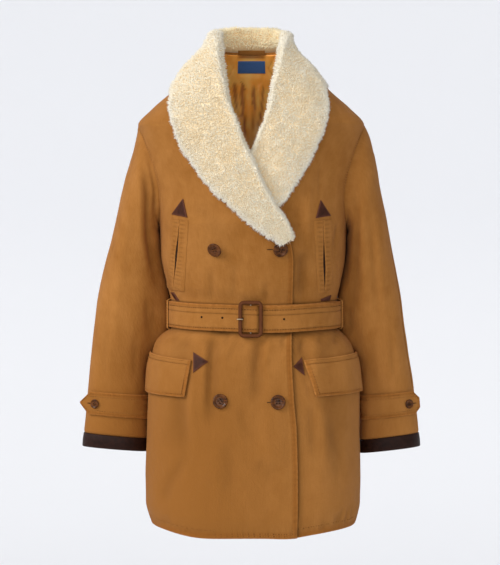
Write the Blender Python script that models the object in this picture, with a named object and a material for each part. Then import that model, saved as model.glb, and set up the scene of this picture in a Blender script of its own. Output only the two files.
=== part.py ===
"""A belted, double-breasted canvas coat with a shearling shawl collar, hollow and filled out as worn.

Sizes are in millimetres until a mesh is made, and metres after that. +X is the viewer's right, -Y the
front and +Z up. The origin is the middle of the neck opening, at the height of the back neck seam.
A place on the coat's surface is a turn (degrees from the centre front, positive to the viewer's right,
90 at the side seam and 180 at the centre back), a height at the side seam, and a distance out.
"""

import math

import bmesh
import bpy
import numpy as np
from mathutils import Vector

MM = 0.001

# Cloth and what it is made of
CANVAS = 1.6  # shell cloth with its interfacing
SEAM_TURN = 0.1  # half of the gap at a seam, as degrees of turn, about 0.2 mm
SEAM = 0.4  # gap at a seam that isn't along a ring
CLEAR = 0.9  # between two layers
PATCH_CLEAR = 1.3  # between a panel and a patch, whose flat cells cut across its curve
WELT = 1.6
LINING = 2.4  # quilted lining
LEATHER = 1.5
FLAP = 2.4  # two layers of canvas

# Neck, shoulders and hem
NECK = 4.0
SHOULDER_TIP = -127.0
ARMPIT = -298.0
HEM = -806.0
ARMHOLE_FRONT = 27.0  # how far the armhole cuts into the front, in degrees
ARMHOLE_BACK = 25.0
ARMHOLE_STEPS = 8  # rows between the shoulder tip and the armpit
SLEEVE_SEAM_TURN = 0.18  # half of the gap at a sleeve's seams, in degrees round the sleeve
SINK = 3.4  # how far the under front lies below the over front
DEEP_SINK = 3.0  # more of it, away from the front edge
COLLAR_SINK = 10.0  # and more again where its half of the collar is between them

# Belt and buckle. An out is a distance from the coat's surface.
BELT_HEIGHT = 45.0
BELT_MIDDLE = -450.0
BELT_THICK = 2.4
BELT_OUT = 2.6
BELT_TIP_TURN = 9.0  # how far past the side seam the belt's free end goes
EYELET = 4.2
EYELETS = (-82, -48, -14.5, 53)
BUCKLE_X = -1.5
BUCKLE_WIDTH = 41.0
BUCKLE_HEIGHT = 62.0
BUCKLE_RIM = 6.4
BUCKLE_DEEP = 4.4
# The frame's section, as parts of half its rim and half its depth
BUCKLE_SECTION = [
    (1, 0.35), (0.55, 1), (-0.55, 1), (-1, 0.35), (-1, -0.35), (-0.55, -1), (0.55, -1), (1, -0.35)
]  # fmt: skip
FRAME_OUT = 10.0
BAR_OUT = 4.1
BAR_WIDTH = 2.4
# The prong's middle line, as (x from the bar, out): along the belt, up through an eyelet, to the rim
PRONG = [
    (-1.8, 4), (-10, 3.8), (-12.4, 4.6), (-13, 7), (-13, 12.5), (-14, 15.3), (-17, 16.2), (-23, 16)
]  # fmt: skip
PRONG_WIDTH = 1.8
LOOP_TURN = 80.0
LOOP_WIDTH = 10.0
LOOP_REACH = 27.0  # from the belt's middle to a loop's end
LOOP_TOP_OUT = 1.6
LOOP_LOW_OUT = 4.6

# Buttons
FRONT_BUTTON = 25.0
CUFF_BUTTON = 16.0
BUTTON_THICK = 0.17  # of its width
BUTTON_LIFT = 1.4
BUTTON_POINTS = 16
# The button's outline, as (part of its radius, part of its thickness), from its back to its dish
BUTTON_PROFILE = [(0.8, 0), (1, 0.3), (1, 0.75), (0.9, 1), (0.76, 1), (0.64, 0.7)]
BUTTON_HOLE = 0.11  # a hole's width, of the button's
BUTTON_HOLE_AT = 0.13  # from the middle, of the button's width
FRONT_BUTTONS = [
    ("upper_left", -60, -339),
    ("upper_right", 47.5, -339),
    ("lower_left", -52, -586),
    ("lower_right", 44, -587),
]

# Cuff straps, on the sleeve's rings: they leave the sleeve at an angle and go on straight
STRAP_TOP = 9.23
STRAP_LOW = 10.15
STRAP_LIFT = 1.8
STRAP_LEAVES = 55.0
STRAP_SHOULDER = 16.0  # how far on the point starts
STRAP_POINT = 18.0
STRAP_TIP = {"left": 34.0, "right": 27.0}
STRAP_BUTTON = 4.0

# Pockets: corners as (x, height), upper then lower
CHEST_POCKET = {
    "left": {
        "chest_patch_upper": [(-116.2, -256), (-115, -256), (-135, -281), (-107.5, -287)],
        "chest_welt_front": [(-119.5, -291), (-106, -292), (-131, -408), (-113, -409)],
        "chest_welt_side": [(-135, -289), (-122.5, -291), (-146, -405), (-134, -408)],
        "chest_patch_lower": [(-137, -412), (-131, -412), (-128, -425), (-121.5, -425)],
    },
    "right": {
        "chest_patch_upper": [(116, -258), (117.2, -258), (108, -288), (133.5, -283.5)],
        "chest_welt_front": [(105, -292), (119, -291), (111.5, -412), (121.5, -410)],
        "chest_welt_side": [(122, -291), (135, -289), (124.5, -410), (138, -407)],
        "chest_patch_lower": [(116, -421), (134.5, -415.5), (117.5, -425), (132, -425)],
    },
}
HIP_PATCH = {
    "left": [(-98.4, -507), (-73.5, -521), (-98.4, -541.5), (-73.5, -522.2)],
    "right": [(71, -528.4), (86, -513), (71, -529.6), (90, -545)],
}
# Hip flaps: their front edge's x above and below, top, bottom, and top at the side
HIP_FLAP = {
    "left": (-101, -112, -520.5, -583, -515),
    "right": (88, 106, -519, -581, -515),
}
FLAP_END = 88.0
FLAP_LIFT = 3.0
FLAP_STANDS = 3.0  # how much more its lower edge stands off

# In the neck
HANGER_TURN = 26.0
HANGER_TOP = 7.0
HANGER_HEIGHT = 5.0
HANGER_OUT = 5.7
HANGER_STANDS = 5.8
LABEL_WIDTH = 50.0
LABEL_TOP = -8.5
LABEL_HEIGHT = 21.0


class Table:
    """Sizes in named columns, a row for each section. Between rows, a column is a smooth curve."""

    def __init__(self, names, rows):
        rows = np.array(sorted(rows), float).T
        self.columns = dict(zip(names.split(), rows, strict=True))
        self.keys = rows[0]

    def at(self, name, key):
        values, keys = self.columns[name], self.keys
        step = np.diff(keys)
        rise = np.diff(values) / step
        slope = np.zeros(len(keys))
        before, after = rise[:-1], rise[1:]
        same = before * after > 0
        slope[1:-1][same] = 2 * before[same] * after[same] / (before[same] + after[same])
        slope[0], slope[-1] = rise[0], rise[-1]
        key = np.clip(np.asarray(key, float), keys[0], keys[-1])
        i = np.clip(np.searchsorted(keys, key, side="right") - 1, 0, len(step) - 1)
        t = (key - keys[i]) / step[i]
        start, end = values[i], values[i + 1]
        curve = start * (1 + 2 * t) * (1 - t) ** 2 + end * t * t * (3 - 2 * t)
        return curve + step[i] * (slope[i] * t * (1 - t) ** 2 - slope[i + 1] * t * t * (1 - t))


# The coat's rings from the neck to the hem. square is the ring's squareness, 2 being an ellipse, and
# the drops are how much lower than the side seam the ring hangs at the centre front and back.
BODY = Table(
    "height half_width middle front back square front_drop back_drop",
    [
        (4, 58, 0, 46, 62, 2.1, 0, 0),
        (-20, 84, 0, 58, 71, 2.2, 0, 0),
        (-48, 115, 0, 70, 81, 2.3, 0, 0),
        (-72, 140, 0, 79, 88, 2.4, 0, 0),
        (-99, 171, 0, 88, 94, 2.4, 0, 0),
        (-127, 194.5, 0, 96, 99, 2.4, 0, 0),
        (-150, 191, 0, 103, 102, 2.4, 0, 0),
        (-177, 185, 0, 110, 105, 2.4, 0, 0),
        (-212, 176, 0, 117, 107, 2.4, 0, 0),
        (-250, 166, 0, 122, 107, 2.4, 0, 0),
        (-298, 160, 1, 125, 106, 2.35, 1, 0),
        (-350, 158, 1.5, 124, 103, 2.3, 3, 1),
        (-400, 149, 3.5, 118, 98, 2.3, 6, 2),
        (-427, 143, 4, 108, 92.5, 2.3, 8, 3),
        (-473, 143, 4, 107, 92.5, 2.3, 8, 3),
        (-484, 156, 3, 114, 99, 2.3, 8, 3),
        (-497, 167, 3, 119, 104, 2.35, 8, 3),
        (-515, 174, 3.5, 124, 110, 2.4, 9, 4),
        (-540, 179, 4, 128, 116, 2.45, 9, 4),
        (-585, 182, 4.5, 132, 122, 2.5, 10, 5),
        (-650, 182.5, 4, 136, 127, 2.5, 12, 6),
        (-729, 185, 3, 140, 131, 2.5, 15, 8),
        (-770, 184.5, 2, 141, 132, 2.5, 17, 9),
        (-806, 175, 2.5, 138, 131, 2.5, 18, 10),
    ],
)

# Where the fronts end: the neckline that the collar covers, then the front edge.
OVER_EDGE = Table(
    "height x",
    [
        (4, -54), (-36, -51.5), (-68, -46.5), (-100, -41), (-131, -28), (-169, -12), (-203, 4),
        (-252, 28), (-289, 51), (-321, 64), (-360, 70.5), (-430, 69), (-505, 67.5), (-582, 71),
        (-640, 76), (-740, 78), (-809, 76.5),
    ],
)  # fmt: skip
UNDER_EDGE = Table(
    "height x",
    [
        (4, 54), (-36, 46.5), (-85, 35.5), (-123, 27), (-147, 17.5), (-177, 4), (-203, -8),
        (-252, -32), (-289, -54), (-321, -66), (-360, -71), (-430, -72), (-809, -76),
    ],
)  # fmt: skip

# The largest folds. Their columns are: facing, x and height of the upper end, x and height of the
# lower end, depth and width. A negative depth is a trough.
FOLDS = [
    ("front", -64, -478, -70, -640, -5.0, 13),
    ("front", 14, -478, 8, -600, -4.0, 12),
    ("front", 88, -478, 92, -560, -4.0, 11),
    ("front", 88, -340, 86, -424, -4.5, 12),
    ("front", -118, -480, -126, -700, -3.5, 22),
    ("front", 132, -480, 140, -720, -3.5, 22),
    ("back", -60, -478, -72, -660, -5.0, 15),
    ("back", 52, -478, 66, -700, -5.0, 15),
    ("back", -4, -478, -2, -620, -3.5, 14),
    ("back", -88, -300, -74, -424, -4.0, 15),
    ("back", 80, -280, 70, -424, -4.0, 15),
]

# Each sleeve's rings, from the armhole (0) to the top of the cuff binding. seam is how far the outer
# seam is turned to the front, in degrees.
SLEEVE_COLUMNS = "ring outer_x outer_height inner_x inner_height deep middle_y seam"
SLEEVES = {
    "right": Table(
        SLEEVE_COLUMNS,
        [
            (0, 194.5, -127, 161.0, -298, 55, 0, 0),
            (1, 203, -148, 163.5, -303, 59, 3, -8),
            (2, 213, -188, 165.0, -310, 61, 6, -10),
            (3, 223, -241, 163.0, -321, 62, 10, -4),
            (4, 232, -283, 163.2, -338, 61, 14, 5),
            (5, 245, -356, 158.0, -380, 58, 20, 12),
            (6, 259, -428, 154.5, -434, 55, 27, 17),
            (7, 267, -482, 165.0, -486, 52, 33, 20),
            (8, 273.5, -525, 181.0, -530, 49, 39, 20),
            (9, 281, -573, 186.0, -580, 46, 44, 20),
            (10, 286.5, -617, 187.0, -628, 44, 46, 20),
            (11, 290.5, -656, 187.0, -669, 42, 46, 20),
        ],
    ),
    "left": Table(
        SLEEVE_COLUMNS,
        [
            (0, 194.5, -127, 159.0, -298, 55, 0, 0),
            (1, 199, -150, 161.5, -303, 59, 3, -4),
            (2, 208, -187, 163.0, -310, 61, 6, -8),
            (3, 222, -236, 161.2, -321, 62, 10, -8),
            (4, 233, -285, 160.5, -338, 61, 14, -8),
            (5, 250.5, -356, 152.5, -380, 58, 20, -8),
            (6, 265, -424, 146.5, -434, 55, 27, -8),
            (7, 273, -480, 159.5, -486, 52, 33, -8),
            (8, 278, -525, 172.5, -530, 49, 39, -8),
            (9, 282.5, -573, 176.0, -580, 46, 44, -8),
            (10, 287, -617, 177.0, -626, 44, 46, -8),
            (11, 291, -656, 178.0, -666, 42, 46, -8),
        ],
    ),
}
SIGN = {"left": -1, "right": 1}
BINDING_DROP_OUTER = 24.0
BINDING_DROP_INNER = 23.0

# The collar from the centre back to its front tip. roll is where it leaves the neckline, edge is its
# outer edge, stand is how high it stands above the neckline, upright is how near to vertical it
# stands, inside is how far its wool reaches past the cloth's inner side, thick is the wool's reach,
# thin is the part of it that is lost on the way to the outer edge.
BACK_COLLAR_COLUMNS = "turn edge_height stand upright inside thick lift thin"
BACK_COLLAR = {
    "left": Table(
        BACK_COLLAR_COLUMNS,
        [
            (90, -58, 25, 1, 8, 17, 1, 0.68),
            (120, -62, 32, 1, 11, 18, 0.4, 0.5),
            (150, -62, 38, 1, 13, 18, 0, 0.3),
            (180, -60, 39, 1, 13, 18, 0, 0.3),
        ],
    ),
    "right": Table(
        BACK_COLLAR_COLUMNS,
        [
            (90, -58, 23, 1, 8, 11, 1, 0.5),
            (120, -62, 30, 1, 11, 14, 0.4, 0.5),
            (150, -62, 37, 1, 13, 17, 0, 0.3),
            (180, -60, 39, 1, 13, 18, 0, 0.3),
        ],
    ),
}
FRONT_COLLAR_COLUMNS = "station roll_x roll_height edge_x edge_height stand upright inside thick lift thin"
OVER_COLLAR = Table(
    FRONT_COLLAR_COLUMNS,
    [
        (-1, -57, 4, -131, -71, 25, 1, 5, 17, 1.4, 0.6),
        (0, -54, 4, -131, -84, 24, 0.95, 4, 17, 2, 0.45),
        (1, -52.5, -14, -131.5, -103, 20, 0.8, 5, 17, 2.8, 0.3),
        (2, -51.5, -36, -129, -124, 14, 0.55, 5, 18, 3, 0.2),
        (3, -46.5, -68, -121, -146, 7, 0.3, 7, 18, 3, 0.2),
        (4, -41, -100, -109, -173, 3, 0.1, 6, 18, 2.4, 0.2),
        (5, -28, -131, -96, -192, 1, 0, 5, 18, 1.4, 0.2),
        (6, -12, -169, -79, -219, 0, 0, 3, 18, 0.4, 0.2),
        (7, 4, -203, -58, -243, 0, 0, 0, 17, 0, 0.2),
        (8, 16, -230, -38, -262, 0, 0, 0, 17, 0, 0.2),
        (9, 28, -252, -17, -281, 0, 0, 0, 16, 0, 0.2),
        (10, 41, -275, 3, -299, 0, 0, 0, 15, 0, 0.2),
        (11, 52, -291, 21, -311, 0, 0, 0, 14, 2, 0.2),
        (12, 60, -308, 37, -321, 0, 0, 0, 12, 4, 0.2),
        (13, 64.5, -322, 50, -330, 0, 0, 0, 9, 5, 0.2),
    ],
)
UNDER_COLLAR = Table(
    FRONT_COLLAR_COLUMNS,
    [
        (-1, 57, 4, 124, -69, 23, 1, 5, 11, 1, 0.5),
        (0, 54, 4, 124, -83, 22, 0.95, 4, 12, 1.6, 0.4),
        (1, 50.5, -16, 124, -103, 19, 0.8, 5, 14, 2.4, 0.3),
        (2, 46.5, -36, 121, -120, 14, 0.55, 5, 17, 2.8, 0.25),
        (3, 41, -60, 115, -139, 7, 0.3, 7, 18, 3, 0.2),
        (4, 35.5, -85, 107, -159, 3, 0.1, 6, 18, 2.4, 0.2),
        (5, 30.5, -110, 97, -179, 1, 0, 5, 18, 1.4, 0.2),
        (6, 17.5, -147, 83, -207, 0, 0, 4, 18, 0.4, 0.2),
        (7, 4, -177, 68, -232, 0, 0, 2, 17, 0, 0.2),
        (8, -8, -203, 54, -254, 0, 0, 0, 16, 0, 0.2),
        (9, -18, -224, 40, -268, 0, 0, 0, 12, 0, 0.2),
    ],
)
COLLAR_SIZES = ("stand", "inside", "thick", "lift", "thin")
COLLAR_STEPS = (0.2, 0.4, 0.6, 0.8, 1.0)  # parts of the way from the neckline to the edge
COLLAR_CLEAR = 2.4  # between the collar and the panels, whose flat cells cut across their curve
ROLL_GAP = 1.3  # between the collar and the panels' upper edge


def ease(value, start, end):
    """0 at start and 1 at end, with a smooth rise between."""
    t = np.clip((value - start) / (end - start), 0, 1)
    return t * t * (3 - 2 * t)


def unit(vectors):
    return vectors / np.linalg.norm(vectors, axis=-1, keepdims=True)


def squared(cosine, sine, square):
    """A point of the unit ring whose squareness is given, 2 being a circle."""
    reach = (np.abs(cosine) ** square + np.abs(sine) ** square) ** (1 / square)
    return cosine / reach, sine / reach


def ring(turn, height):
    """The coat's surface without its folds."""
    angle = np.radians(turn)
    ahead, aside = squared(np.cos(angle), np.sin(angle), BODY.at("square", height))
    is_front = np.cos(angle) > 0
    depth = np.where(is_front, BODY.at("front", height), BODY.at("back", height))
    drop = np.where(is_front, BODY.at("front_drop", height), BODY.at("back_drop", height))
    x = BODY.at("middle", height) + BODY.at("half_width", height) * aside
    return np.stack([x, -depth * ahead, height - drop * np.cos(angle) ** 2], -1)


def turn_at(x, height, facing="front"):
    """The turn of the surface point that is x to the right, at a height."""
    square = BODY.at("square", height)
    aside = np.clip((x - BODY.at("middle", height)) / BODY.at("half_width", height), -1, 1)
    ahead = (1 - np.abs(aside) ** square) ** (1 / square)
    turn = np.degrees(np.arctan2(aside, ahead))
    return turn if facing == "front" else 180 - turn


def fold(turn, height, x):
    """How far the folds move the surface out, at points whose x is known."""
    moved = np.zeros(np.shape(x))
    is_front = np.cos(np.radians(turn)) > 0
    for facing, top_x, top, low_x, low, depth, width in FOLDS:
        line = top_x + (low_x - top_x) * np.clip((height - top) / (low - top), 0, 1)
        shape = np.exp(-(((x - line) / width) ** 2)) * ease(height, low, (top + 2 * low) / 3)
        shape = shape * ease(height, top + 2, top - 14)
        moved = moved + depth * shape * (is_front == (facing == "front"))
    return moved


def facing_out(place, turn, height):
    """The surface's unit normal."""
    around = place(turn + 0.5, height) - place(turn - 0.5, height)
    down = place(turn, height - 1.0) - place(turn, height + 1.0)
    return unit(np.cross(down, around))


def body(turn, height, out=0.0):
    """A point of the coat, out from its surface."""
    turn, height, out = np.broadcast_arrays(*(np.asarray(a, float) for a in (turn, height, out)))
    base = ring(turn, height)
    return base + facing_out(ring, turn, height) * (out + fold(turn, height, base[..., 0]))[..., None]


def sunk(turn, height):
    """How far the under front is inside the coat's surface: it slips under the other front."""
    past = ring(turn, height)[..., 0] - OVER_EDGE.at("x", height)
    between = ease(height, -120, -175) * ease(height, -335, -285)
    under = SINK * ease(past, 42, 8) + DEEP_SINK * ease(past, 5, -25)
    return under + COLLAR_SINK * between * ease(past, 66, 10)


def under_room(turn, height):
    """How far the wool of the under half may reach out before it meets the over front."""
    past = ring(turn, height)[..., 0] - OVER_EDGE.at("x", height)
    return sunk(turn, height) - CANVAS - 2.2 + 30 * ease(past, 8, 60)


def under_body(turn, height, out=0.0):
    """A point of the under front, out from its surface."""
    turn, height, out = np.broadcast_arrays(*(np.asarray(a, float) for a in (turn, height, out)))
    return body(turn, height, out - sunk(turn, height))


def armhole_cut(height, degrees):
    """How far the armhole cuts in from the side seam, at a height."""
    middle, half = (SHOULDER_TIP + ARMPIT) / 2, (SHOULDER_TIP - ARMPIT) / 2
    return degrees * np.sqrt(np.clip(1 - ((height - middle) / half) ** 2, 0, 1))


def armhole_heights():
    """The heights of the rows beside the armhole, even round its oval."""
    middle, half = (SHOULDER_TIP + ARMPIT) / 2, (SHOULDER_TIP - ARMPIT) / 2
    return middle + half * np.cos(np.linspace(0, np.pi, ARMHOLE_STEPS + 1))


def body_rows():
    above = [NECK, -22, -50, -78, -105]
    below = [-330, -365, -400, -426, -450, -474, -488, -506, -535, -585, -640, -700, -755, -785, HEM]
    return np.array(above + list(armhole_heights()) + below, float)


def material(name, colour, roughness, metallic=0.0):
    made = bpy.data.materials.get(name) or bpy.data.materials.new(name)
    made.use_nodes = True
    shader = made.node_tree.nodes["Principled BSDF"]
    shader.inputs["Base Color"].default_value = (*colour, 1)
    shader.inputs["Roughness"].default_value = roughness
    shader.inputs["Metallic"].default_value = metallic
    return made


FINISHES = {
    "canvas": ((0.42, 0.20, 0.065), 0.85, 0.0),
    "shearling": ((0.80, 0.70, 0.50), 0.95, 0.0),
    "leather": ((0.045, 0.018, 0.018), 0.5, 0.0),
    "lining": ((0.24, 0.09, 0.02), 0.4, 0.0),
    "label": ((0.01, 0.035, 0.12), 0.7, 0.0),
    "horn": ((0.06, 0.02, 0.01), 0.3, 0.0),
    "brass": ((0.60, 0.45, 0.25), 0.3, 1.0),
}


def finish(name, mesh, finish_name):
    """An object from a bmesh in millimetres, closed and facing out."""
    bmesh.ops.recalc_face_normals(mesh, faces=mesh.faces[:])
    if mesh.calc_volume(signed=True) < 0:
        bmesh.ops.reverse_faces(mesh, faces=mesh.faces[:])
    bmesh.ops.scale(mesh, vec=(MM, MM, MM), verts=mesh.verts[:])
    data = bpy.data.meshes.new(name)
    mesh.to_mesh(data)
    mesh.free()
    data.shade_smooth()
    data.set_sharp_from_angle(angle=math.radians(40))
    data.materials.append(material(f"{name}_{finish_name}", *FINISHES[finish_name]))
    thing = bpy.data.objects.new(name, data)
    bpy.context.scene.collection.objects.link(thing)
    return thing


def wall(name, across, down, place, outside, inside, finish_name):
    """A piece of cloth: a grid that place(u, v, out) lays at two distances from the coat's surface."""
    across, down = np.asarray(across, float), np.asarray(down, float)
    columns, rows = len(across) - 1, len(down) - 1
    mesh = bmesh.new()
    bmesh.ops.create_grid(mesh, x_segments=columns, y_segments=rows, size=0.5)
    raised = bmesh.ops.extrude_face_region(mesh, geom=mesh.faces[:])["geom"]
    raised = {v for v in raised if isinstance(v, bmesh.types.BMVert)}
    grid = np.array([v.co for v in mesh.verts])
    u = across[np.rint((grid[:, 0] + 0.5) * columns).astype(int)]
    v = down[np.rint((grid[:, 1] + 0.5) * rows).astype(int)]
    out = np.array([outside if vertex in raised else inside for vertex in mesh.verts])
    for vertex, point in zip(mesh.verts, place(u, v, out), strict=True):
        vertex.co = point
    return finish(name, mesh, finish_name)


def loft(name, rings, joined, finish_name):
    """A solid through closed rings of points, its ends capped, or joined to each other."""
    rings = np.array(rings, float)
    if joined:
        rings = np.concatenate([rings, rings[:1]])
    rows, columns = len(rings) - 1, rings.shape[1]
    mesh = bmesh.new()
    bmesh.ops.create_grid(mesh, x_segments=columns, y_segments=rows, size=0.5)
    for vertex in mesh.verts:
        column = round((vertex.co.x + 0.5) * columns) % columns
        vertex.co = rings[round((vertex.co.y + 0.5) * rows), column]
    bmesh.ops.remove_doubles(mesh, verts=mesh.verts[:], dist=0.001)
    if not joined:
        ends = [e for e in mesh.edges if e.is_boundary]
        bmesh.ops.holes_fill(mesh, edges=ends, sides=0)
    return finish(name, mesh, finish_name)


def fronts():
    rows = body_rows()
    columns = [0, 0.07, 0.15, 0.22, 0.27, 0.325, 0.38, 0.46, 0.56, 0.66, 0.77, 0.88, 1]

    def over(u, v, out):
        edge = turn_at(OVER_EDGE.at("x", v), v)
        side = -90 + armhole_cut(v, ARMHOLE_FRONT) + SEAM_TURN
        return body(edge + (side - edge) * u, v, out)

    def under(u, v, out):
        edge = turn_at(UNDER_EDGE.at("x", v), v)
        side = 90 - armhole_cut(v, ARMHOLE_FRONT) - SEAM_TURN
        return under_body(edge + (side - edge) * u, v, out)

    wall("front_over", columns, rows, over, 0.0, -CANVAS, "canvas")
    wall("front_under", columns, rows, under, 0.0, -CANVAS, "canvas")


def back():
    def place(u, v, out):
        start = 90 + armhole_cut(v, ARMHOLE_BACK) + SEAM_TURN
        return body(start + (360 - 2 * start) * u, v, out)

    wall("back", np.linspace(0, 1, 19), body_rows(), place, 0.0, -CANVAS, "canvas")


def lining():
    def place(u, v, out):
        start = 91 + armhole_cut(v, ARMHOLE_BACK + 1)
        return body(start + (360 - 2 * start) * u, v, out)

    rows = [v for v in body_rows() if v >= ARMPIT]
    rows[0] = NECK - 3
    outer = -CANVAS - CLEAR
    wall("lining_back", np.linspace(0, 1, 19), rows, place, outer, outer - LINING, "lining")


def armhole(side, around):
    """The armhole's points and the body's normals there. around is 0 at the tip and 180 below."""
    middle, half = (SHOULDER_TIP + ARMPIT) / 2, (SHOULDER_TIP - ARMPIT) / 2
    angle = np.radians(around)
    height = middle + half * np.cos(angle)
    cut = np.where(np.sin(angle) > 0, ARMHOLE_FRONT, ARMHOLE_BACK) * np.sin(angle)
    turn = SIGN[side] * (90 - cut)
    return body(turn, height), facing_out(ring, turn, height)


def sleeve_ring(side, around, along):
    """The sleeve without its seam allowance: around is 0 outside, 90 in front and 180 at the body."""
    table, sign = SLEEVES[side], SIGN[side]
    angle = np.radians(around)
    aside, ahead = squared(np.cos(angle), np.sin(angle), 2.25)
    x = (table.at("outer_x", along) + table.at("inner_x", along)) / 2
    x = x + aside * (table.at("outer_x", along) - table.at("inner_x", along)) / 2
    z = (table.at("outer_height", along) + table.at("inner_height", along)) / 2
    z = z + aside * (table.at("outer_height", along) - table.at("inner_height", along)) / 2
    y = table.at("middle_y", along) - ahead * table.at("deep", along)
    return np.stack([sign * x, y, z], -1)


def sleeve(side, around, along, out=0.0):
    """A point of a sleeve. Its first ring is the armhole, which fades into the sleeve's own rings."""
    around, along, out = np.broadcast_arrays(*(np.asarray(a, float) for a in (around, along, out)))

    centre = armhole(side, np.arange(0, 360, 45.0))[0].mean(0)

    def place(around, along):
        hole, _ = armhole(side, around)
        hole = hole + SEAM * unit(centre - hole)
        away = hole - sleeve_ring(side, around, np.zeros_like(along))
        fade = (1 - np.clip(along / 2.5, 0, 1)) ** 2
        return sleeve_ring(side, around, along) + away * fade[..., None]

    base = place(around, along)
    turned = place(around + 2, along) - place(around - 2, along)
    down = place(around, along + 0.02) - place(around, along - 0.02 * (along > 0))
    normal = unit(np.cross(turned, down)) * SIGN[side]
    into_hole = unit(centre - base)
    leaning = np.maximum((normal * into_hole).sum(-1), 0) * (1 - ease(along, 0, 0.6))
    return base + unit(normal - into_hole * leaning[..., None]) * out[..., None]


def sleeves():
    angles = np.linspace(0, 180, ARMHOLE_STEPS + 1)
    rings = [0, 0.35, 1, 1.8, 2.6, 3.4, 4.3, 5.2, 6, 7, 8, 9, 10, 11]
    gap = SLEEVE_SEAM_TURN
    for side in ("left", "right"):
        table = SLEEVES[side]

        def front(u, v, out, side=side, table=table):
            around = gap + (180 - 2 * gap) * u / 180
            return sleeve(side, around + table.at("seam", v) * (1 - u / 180), v, out)

        def rear(u, v, out, side=side, table=table):
            around = -gap - (180 - 2 * gap) * u / 180
            return sleeve(side, around + table.at("seam", v) * (1 - u / 180), v, out)

        wall(f"sleeve_front_{side}", angles, rings, front, 0.0, -CANVAS, "canvas")
        wall(f"sleeve_rear_{side}", angles, rings, rear, 0.0, -CANVAS, "canvas")


def collar_ring(place, room, turn, height, edge_turn, edge_height, upright, sizes):
    """One ring of the collar: its cloth side lies on place, its wool reaches out and over the top."""
    stand, inside, thick, lift, thin = sizes
    start = place(turn, height)
    normal = facing_out(place, turn, height)
    fall = unit(place(turn + (edge_turn - turn) * 0.04, height + (edge_height - height) * 0.04) - start)
    over = unit(-fall * (1 - upright) + np.array([0, 0, 1.0]) * upright)
    outward = unit(normal - over * (normal @ over))

    def near(over_by, out_by):
        return start + over * over_by + outward * min(out_by, room(turn, height))

    def along(part, out):
        part_turn, part_height = turn + (edge_turn - turn) * part, height + (edge_height - height) * part
        return place(part_turn, part_height, min(out, room(part_turn, part_height)))

    low = COLLAR_CLEAR + lift
    inner = low - (low + CANVAS) * min(inside / 3, 1)
    under = [near(ROLL_GAP, inner), near(ROLL_GAP, low)] + [along(part, low) for part in COLLAR_STEPS]
    end = unit(along(1.0, low) - along(0.9, low))
    rim = 1.06 - thin
    wool = [along(1.0, low + thick * 0.23 * rim) + end * 5, along(1.0, low + thick * 0.64 * rim) + end * 5.5]
    wool += [along(part, low + thick * (1.06 - thin * part**3)) for part in reversed(COLLAR_STEPS)]
    wool += [
        near(stand * 0.5, low + thick * 1.1),
        near(stand + 3, low + thick * 0.7),
        near(stand + 6, inner + thick * 0.25),
        near(stand + 3.5, inner - inside * 0.7),
        near(stand * 0.45 + 1.5, inner - inside),
    ]
    return under + wool


def collar(name, place, room, side, front_rows):
    sign = SIGN[side]
    rings = []
    for turn in (180 - 2 * SEAM_TURN, 165, 150, 135, 120, 105, 90):
        sizes = [BACK_COLLAR[side].at(n, turn) for n in COLLAR_SIZES]
        edge_height, upright = (BACK_COLLAR[side].at(n, turn) for n in ("edge_height", "upright"))
        ends = (sign * turn, NECK, sign * turn, edge_height)
        rings.append(collar_ring(body, room, *ends, upright, sizes))
    for station in front_rows.keys:
        row = {n: front_rows.at(n, station) for n in FRONT_COLLAR_COLUMNS.split()}
        sizes = [row[n] for n in COLLAR_SIZES]
        turn = turn_at(row["roll_x"], row["roll_height"])
        edge_turn = turn_at(row["edge_x"], row["edge_height"])
        ends = (turn, row["roll_height"], edge_turn, row["edge_height"])
        rings.append(collar_ring(place, room, *ends, row["upright"], sizes))
    loft(name, rings, False, "shearling")


def collars():
    collar("collar_over", body, lambda turn, height: 99.0, "left", OVER_COLLAR)
    collar("collar_under", under_body, under_room, "right", UNDER_COLLAR)


def strip_of(points, outs, widths, thick):
    """Rectangular rings along a path: each has a middle point, its unit out direction, the vector
    from its middle to its edge, and goes from the middle outwards by thick."""
    rings = []
    for point, out, half in zip(points, outs, widths, strict=True):
        rings.append([point - half, point + half, point + half + out * thick, point - half + out * thick])
    return rings


def button(name, point, normal, size):
    """A button with a raised rim and four holes, lying on a point of the cloth."""
    angles = np.linspace(0, 2 * np.pi, BUTTON_POINTS, endpoint=False)
    circle = np.stack([np.cos(angles), np.sin(angles), 0 * angles], -1)
    high = size * BUTTON_THICK
    rings = [circle * radius * size / 2 + [0, 0, part * high] for radius, part in BUTTON_PROFILE]
    disc = loft(name, rings, False, "horn")
    for number, angle in enumerate(np.radians((45, 135, 225, 315))):
        away = size * BUTTON_HOLE_AT * np.array([math.cos(angle), math.sin(angle), 0])
        hole = [circle[::2] * size * BUTTON_HOLE / 2 + away + [0, 0, z] for z in (-1, high + 1)]
        drill = loft(f"{name}_drill_{number}", hole, False, "horn")
        drill.hide_render, drill.display_type, drill.parent = True, "WIRE", disc
        cut = disc.modifiers.new(f"hole_{number}", "BOOLEAN")
        cut.operation, cut.object = "DIFFERENCE", drill
    disc.location = Vector(point) * MM
    disc.rotation_euler = Vector(normal).to_track_quat("Z", "Y").to_euler()


def patch(name, corners, place, lift, thick, finish_name, cells=(4, 4)):
    """A flat piece on a panel. corners are (x, height): upper left and right, lower left and right."""
    (a, b), (c, d) = np.array(corners[:2], float), np.array(corners[2:], float)

    def lay(u, v, out):
        u, v = u[:, None], v[:, None]
        at = (a * (1 - u) + b * u) * (1 - v) + (c * (1 - u) + d * u) * v
        return place(turn_at(at[:, 0], at[:, 1]), at[:, 1], out)

    across, down = (np.linspace(0, 1, n + 1) for n in cells)
    wall(name, across, down, lay, lift + thick, lift, finish_name)


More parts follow.
